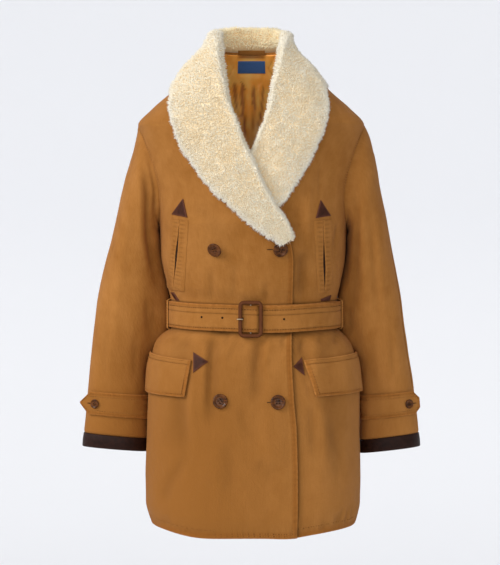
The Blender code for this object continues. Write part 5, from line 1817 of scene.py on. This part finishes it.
def belt():
    """The belt, once round from behind the buckle, then over itself to its tip at the right side."""
    start = float(turn_at(BUCKLE_X + 3, BELT_MIDDLE))
    bare = 360 + float(turn_at(BUCKLE_X - 28, BELT_MIDDLE))
    raised = 360 + float(turn_at(BUCKLE_X - 8, BELT_MIDDLE))
    end = 450 + BELT_TIP_TURN

    def lay(u, v, out):
        outs = BELT_OUT + (BELT_THICK + CLEAR) * ease(u, bare, raised)
        points, _ = belt_point(u, outs + out)
        tip = np.sqrt(np.clip((end - u) / BELT_TIP_TURN, 0.03, 1))
        points[:, 2] += v * np.where(u > 450, tip, 1) + belt_wave(u)
        return points

    def rough(x, y, u, v):
        rows = belt_rows(v, 1.2)
        grooves = 0.22 * over_cloth(x, y, (30, 20, 9), 41) - 0.4 * rows - 0.55 * bell(v, BELT_SEAM, 1.0)
        return grooves + 0.22 * wobble(x, 7.5, 8) * rows

    # Painted shade in the fold and the stitch rows and in the puckers along the edges, and a painted shadow
    # of the buckle's frame on the belt beside the tongue.
    def dark(x, y, u, v):
        across = np.abs(belt_point(u.ravel(), 5.0)[0][:, 0].reshape(u.shape) - BUCKLE_X)
        beside = ease(across, 10.4, 12.6) * ease(across, 20, 16) * (u > 300)
        gathers = puckers(x, 7.5, 9.2) * ease(np.abs(v), 12, 18)
        seams = 0.5 * bell(v, BELT_SEAM, 0.9) + 0.22 * belt_rows(v, 0.9)
        return seams + 0.75 * beside + PUCKER * gathers

    down = edged(BELT_HEIGHT / 2, -BELT_HEIGHT / 2, 2.2, (0.4, 1.2))
    beside_seams = [at + 1.2 * n for at in (BELT_SEAM, *BELT_ROWS) for n in (1, 0, -1)]
    down = np.unique(np.concatenate([down, beside_seams]))[::-1]
    cloth(
        "belt_cloth", "belt", ["belt"], edged(start, end, 1.9, (0.2, 0.6)), down, lay, BELT_THICK, 0.0,
        rough=rough, dark=dark, round_by=1.1, wear_by=1.3, hemmed="tb", deep_by=5.0,
    )
    for v in BELT_ROWS:
        topstitch("belt", lay, [start, end], [v, v], out=BELT_THICK + 0.1, count=3000)
    for number, x in enumerate(EYELETS):
        turn = turn_at(x, BELT_MIDDLE) + 360
        out = BELT_OUT + BELT_THICK + (BELT_THICK + CLEAR) * (x > BUCKLE_X - 20)
        (spot,), (normal,) = belt_point(np.array([turn]), np.array([out]))
        spot = spot + [0, 0, belt_wave(turn)]
        outline = [(0, 0.22), (1.3, 0.3), (1.75, 0.35), (1.95, -0.3), (0, -1.4)]
        mesh = turned_shape("eyelet", outline, 24)
        facing = Vector(normal).to_track_quat("Z", "Y").to_matrix().to_4x4()
        bmesh.ops.transform(mesh, matrix=Matrix.Translation(Vector(spot)) @ facing, verts=mesh.verts[:])
        piece(f"eyelet_{number}", to_data("eyelet", mesh), EYELET)


def rounded_frame(width, height, corner, steps=7):
    """The middle line of a rounded rectangle, as (x, z) points with their outward directions."""
    points = []
    for across, up, first in ((1, 1, 0), (-1, 1, 90), (-1, -1, 180), (1, -1, 270)):
        for angle in np.radians(np.linspace(first, first + 90, steps)):
            way = np.array([math.cos(angle), math.sin(angle)])
            middle = np.array([across * (width / 2 - corner), up * (height / 2 - corner)])
            points.append((middle + corner * way, way))
    return points


def buckle():
    """The leather-covered frame; the bar and prong are the CAD's own, in brass."""
    turn = turn_at(BUCKLE_X, BELT_MIDDLE)
    (centre,), _ = belt_point(np.array([turn]), np.array([FRAME_OUT + BUCKLE_DEEP / 2]))
    angles = np.linspace(0, 2 * np.pi, 16, endpoint=False)
    across, deep = squared(np.cos(angles), np.sin(angles), 2.6)
    rings = []
    depth, rim = -BUCKLE_DEEP / 2 * deep, BUCKLE_RIM / 2 * across
    for (x, z), (way_x, way_z) in rounded_frame(BUCKLE_WIDTH - BUCKLE_RIM, BUCKLE_HEIGHT - BUCKLE_RIM, 6):
        places = [centre[0] + x + way_x * rim, centre[1] + depth, centre[2] + z + way_z * rim]
        rings.append(np.stack(places, -1))
    data = loft("buckle_frame_leather", rings, True)
    places = np.array([v.co for v in data.vertices]) / MM
    give(data, "wear", 0.55 * ease(places[:, 1], centre[1] - 0.8, centre[1] - BUCKLE_DEEP / 2))
    piece("buckle_frame_leather", data, BUCKLE_LEATHER, ["buckle_frame"])
    for node in ("buckle_bar", "buckle_prong"):
        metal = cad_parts[node]
        metal.data.materials.clear()
        metal.data.materials.append(BRASS)


def belt_loop(side, out):
    """A loop that holds the belt at the side seam. out is how far out the belt's face is there."""
    heights = np.array([LOOP_REACH, LOOP_REACH - 3.5, 3.5 - LOOP_REACH, -LOOP_REACH])
    outs = np.array([LOOP_TOP_OUT, out + CLEAR, out + CLEAR, LOOP_LOW_OUT])

    def lay(u, v, extra):
        away = np.interp(v, heights[::-1], outs[::-1]) - 2.4 * ease(np.abs(v), 23.5, LOOP_REACH)
        points, _ = belt_point(SIGN[side] * (LOOP_TURN + np.degrees(u / 100)), away + extra)
        points[:, 2] += v
        return points

    node, half = f"belt_loop_{side}", LOOP_WIDTH / 2
    cloth(
        node + "_cloth", "belt_loop", [node], edged(-half, half, 1.6, (0.4, 1.0)),
        edged(LOOP_REACH, -LOOP_REACH, 1.8, NEAR[:2]), lay, CANVAS, 0.0, wear_by=1.2,
    )
    for u in (-half + 1.8, half - 1.8):
        topstitch("trims", lay, [u, u], [LOOP_REACH - 1, 1 - LOOP_REACH], out=CANVAS + 0.1)


def hanger_loop():
    """The loop in the neck."""

    def lay(u, v, out):
        stands = HANGER_OUT + HANGER_STANDS * (1 - u * u)
        return body(180 + HANGER_TURN * u, HANGER_TOP - HANGER_HEIGHT * v, out - stands)

    cloth(
        "hanger_loop_cloth", "hanger_loop", ["hanger_loop"], edged(-1, 1, 0.05, (0.02,)),
        edged(0, 1, 0.15, (0.06,)), lay, -CANVAS, 0.0, wear_by=0.6, dark=lambda x, y, u, v: 0.42 + 0 * x,
    )


def loops():
    """The belt loops at the sides and the hanger loop in the neck."""
    belt_loop("left", BELT_OUT + BELT_THICK)
    belt_loop("right", BELT_OUT + 2 * BELT_THICK + CLEAR)
    hanger_loop()


def label():
    """The tape in the neck."""
    inner = -CANVAS - CLEAR - LINING - 0.7

    def lay(u, v, out):
        x, height = LABEL_WIDTH * (u - 0.5), LABEL_TOP - LABEL_HEIGHT * v
        return body(turn_at(x, height, "back"), height, out)

    cloth(
        "neck_label_tape", "neck_label", ["neck_label"], edged(0, 1, 0.04, (0.01,)),
        edged(0, 1, 0.08, (0.02,)), lay, inner - 0.9, inner - 0.2,
        finish=LABEL, slot="label", round_by=0.4, wear_by=1.0,
    )


def cuff_binding(side):
    """The leather around a sleeve's end: down from the canvas, round the edge and up inside."""
    rings = []
    for around in np.arange(0, 360, 5.0):
        top = sleeve(side, around, 11.0)
        down = unit(top - sleeve(side, around, 10.9))
        out = sleeve(side, around, 11.0, 1.0) - top
        share = 0.5 + 0.5 * math.cos(math.radians(around))
        drop = BINDING_DROP_INNER + (BINDING_DROP_OUTER - BINDING_DROP_INNER) * share
        thick = CANVAS / 2 + 0.5
        swell = 0.25 * math.sin(around / 7.0) + 0.2 * math.sin(around / 3.1)
        outline = [
            (SEAM, -0.2), (1.2, 0.35), (drop / 2, 0.55 + swell), (drop - 1.6, 0.45), (drop - 0.3, -0.3),
            (drop, -thick), (drop - 0.5, -2 * thick), (drop / 2, -2 * thick - 0.2), (SEAM, -2 * thick),
        ]
        rings.append([top + down * d + out * o for d, o in outline])
    node = f"cuff_binding_{side}"
    data = loft(node + "_leather", rings, True)
    wear = np.tile([0.25, 0.1, 0, 0.15, 0.7, 0.4, 0, 0, 0], len(rings))
    order = {tuple(np.round(np.array(p) * MM, 6)): w for p, w in zip(np.concatenate(rings), wear)}
    give(data, "wear", [order.get(tuple(np.round(np.array(v.co), 6)), 0.0) for v in data.vertices])
    piece(node + "_leather", data, CUFF_LEATHER, [node])


def cuff_strap(side):
    """A strap round the sleeve, whose pointed end stands off past the sleeve's edge, and its button."""
    tip, lift = STRAP_TIP[side], STRAP_LIFT + 0.6
    top = lift + FLAP - 0.5

    def lay(u, v, out):
        high = (STRAP_LOW - STRAP_TOP) * (1 - 0.94 * np.clip((u - STRAP_SHOULDER) / STRAP_POINT, 0, 1))
        along = (STRAP_TOP + STRAP_LOW) / 2 + (v - 0.5) * high
        around = STRAP_LEAVES - np.minimum(u, 0)
        point = sleeve(side, around, along, out)
        ahead = unit(point - sleeve(side, around + 2, along, out))
        return point + ahead * np.maximum(u, 0)[:, None]

    def rough(x, y, u, v):
        gathers = 0.5 * wobble(y, 9.0, 9) * ease(u, -60, -92)
        return 0.35 * over_cloth(x, y, (14, 12, 9), 51) + gathers

    # Painted shade in the puckers along its edges.
    def dark(x, y, u, v):
        return 1.2 * PUCKER * puckers(x, 7.5, 4.3) * ease(np.abs(v - 0.5), 0.24, 0.42)

    node = f"cuff_strap_{side}"
    cloth(
        node + "_cloth", "cuff_strap", [node], edged(-95, tip, 2.4, (0.4, 1.2, 2.4)),
        edged(0, 1, 0.07, (0.012, 0.035)), lay, lift + FLAP - 0.6, lift,
        rough=rough, dark=dark, round_by=1.2, wear_by=1.3, deep_by=5.0,
    )
    for v in (0.09, 0.2):
        for row in (v, 1 - v):
            topstitch("trims", lay, [-93, tip - 3], [row, row], out=top)
    out = STRAP_LIFT + FLAP + SEAM
    at, far = (lay(np.array([STRAP_BUTTON]), np.array([0.5]), np.array([o]))[0] for o in (out, out + 1))
    button(f"cuff_button_{side}", at, unit(far - at), CUFF_BUTTON, 0.6)
    DARK_HOLES.sew(lay, [STRAP_BUTTON + 8, STRAP_BUTTON + 15], [0.5, 0.5], out=top + 0.1)


def cuffs():
    """The leather bindings, the straps over them and their buttons."""
    for side in SIGN:
        cuff_binding(side)
        cuff_strap(side)


def buttonholes():
    """The ends of the front's buttonholes, which show beside the buttons."""

    def lay(x, v, out):
        return body(turn_at(x, v), v, out)

    for height in (-339, -587):
        DARK_HOLES.sew(lay, BUTTONHOLE, [height, height], out=0.2)


def stage():
    """A plain pale floor that runs up into a wall, soft lights and the camera."""
    rows, flat, upright, radius = 60, 24, 40, 1.2
    mesh = bmesh.new()
    bmesh.ops.create_grid(mesh, x_segments=2, y_segments=rows, size=0.5)
    for vertex in mesh.verts:
        t = (vertex.co.y + 0.5) * rows
        bend = math.radians(np.clip((t - flat) * 90 / (upright - flat), 0, 90))
        y = -9.0 + min(t, flat) * 0.5 + radius * math.sin(bend)
        z = radius * (1 - math.cos(bend)) + max(t - upright, 0) * 0.45
        vertex.co = (vertex.co.x * 24, y, z - 1.35)
    data = bpy.data.meshes.new("studio_floor")
    mesh.to_mesh(data)
    mesh.free()
    data.shade_smooth()
    floor = bpy.data.objects.new("studio_floor", data)
    bpy.context.scene.collection.objects.link(floor)
    pale = Finish("studio_paper", Roughness=1.0, Specular_IOR_Level=0.0)
    fleck = pale.lumps(pale.place(), 3.0, 2.0)
    pale.feed("Base Color", pale.blend(fleck, (0.803, 0.810, 0.836), (0.811, 0.818, 0.844)))
    data.materials.append(pale.material)
    floor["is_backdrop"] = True

    world = bpy.data.worlds.new("studio")
    bpy.context.scene.world = world
    world.use_nodes = True
    sky = world.node_tree.nodes["Background"]
    sky.inputs["Color"].default_value = (0.95, 0.97, 1.0, 1)
    sky.inputs["Strength"].default_value = 0.42
    for name, energy, angle, turn, colour in (
        ("key", 1.95, 35, (math.radians(58), 0, math.radians(-58)), (1.0, 0.985, 0.96)),
        ("fill", 0.75, 40, (math.radians(78), 0, math.radians(-4)), (0.98, 0.99, 1.0)),
    ):
        light = bpy.data.lights.new(name, "SUN")
        light.energy, light.angle, light.color = energy, math.radians(angle), colour
        lamp = bpy.data.objects.new(name, light)
        lamp.rotation_euler = turn
        bpy.context.scene.collection.objects.link(lamp)

    camera = bpy.data.cameras.new("camera")
    camera.sensor_width, camera.lens = 36.0, CAMERA_AWAY * 36.0 / (565 * PIXEL)
    camera.clip_end = 60
    eye = bpy.data.objects.new("camera", camera)
    eye.location = (-0.0026, -CAMERA_AWAY * MM, -0.3965)
    eye.rotation_euler = (math.radians(90), 0, 0)
    bpy.context.scene.collection.objects.link(eye)
    bpy.context.scene.camera = eye
    bpy.context.scene.view_settings.view_transform = "Standard"


def main():
    stage()
    fronts()
    back()
    lining()
    sleeves()
    collars()
    cuffs()
    front_buttons()
    buttonholes()
    pockets()
    belt()
    buckle()
    loops()
    label()
    for name in SEAM_NAMES:
        SEAMS[name].make(f"stitches_{name}", CANVAS_THREAD, "canvas")
        # The grooves' strips of painted shade.
        GROOVE_SHADES[name].make(f"grooves_{name}", SEAM_GROOVE_SHADE, "canvas")
    DARK_SEAMS.make("stitches_leather", DARK_THREAD, "leather")
    DARK_HOLES.make("buttonholes", DARK_THREAD, "canvas")
    BUTTON_THREAD.make("button_thread", DARK_THREAD, "button")
    [[list(map(float, p)) for p in box] for box in (cad_box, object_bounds())]


main()
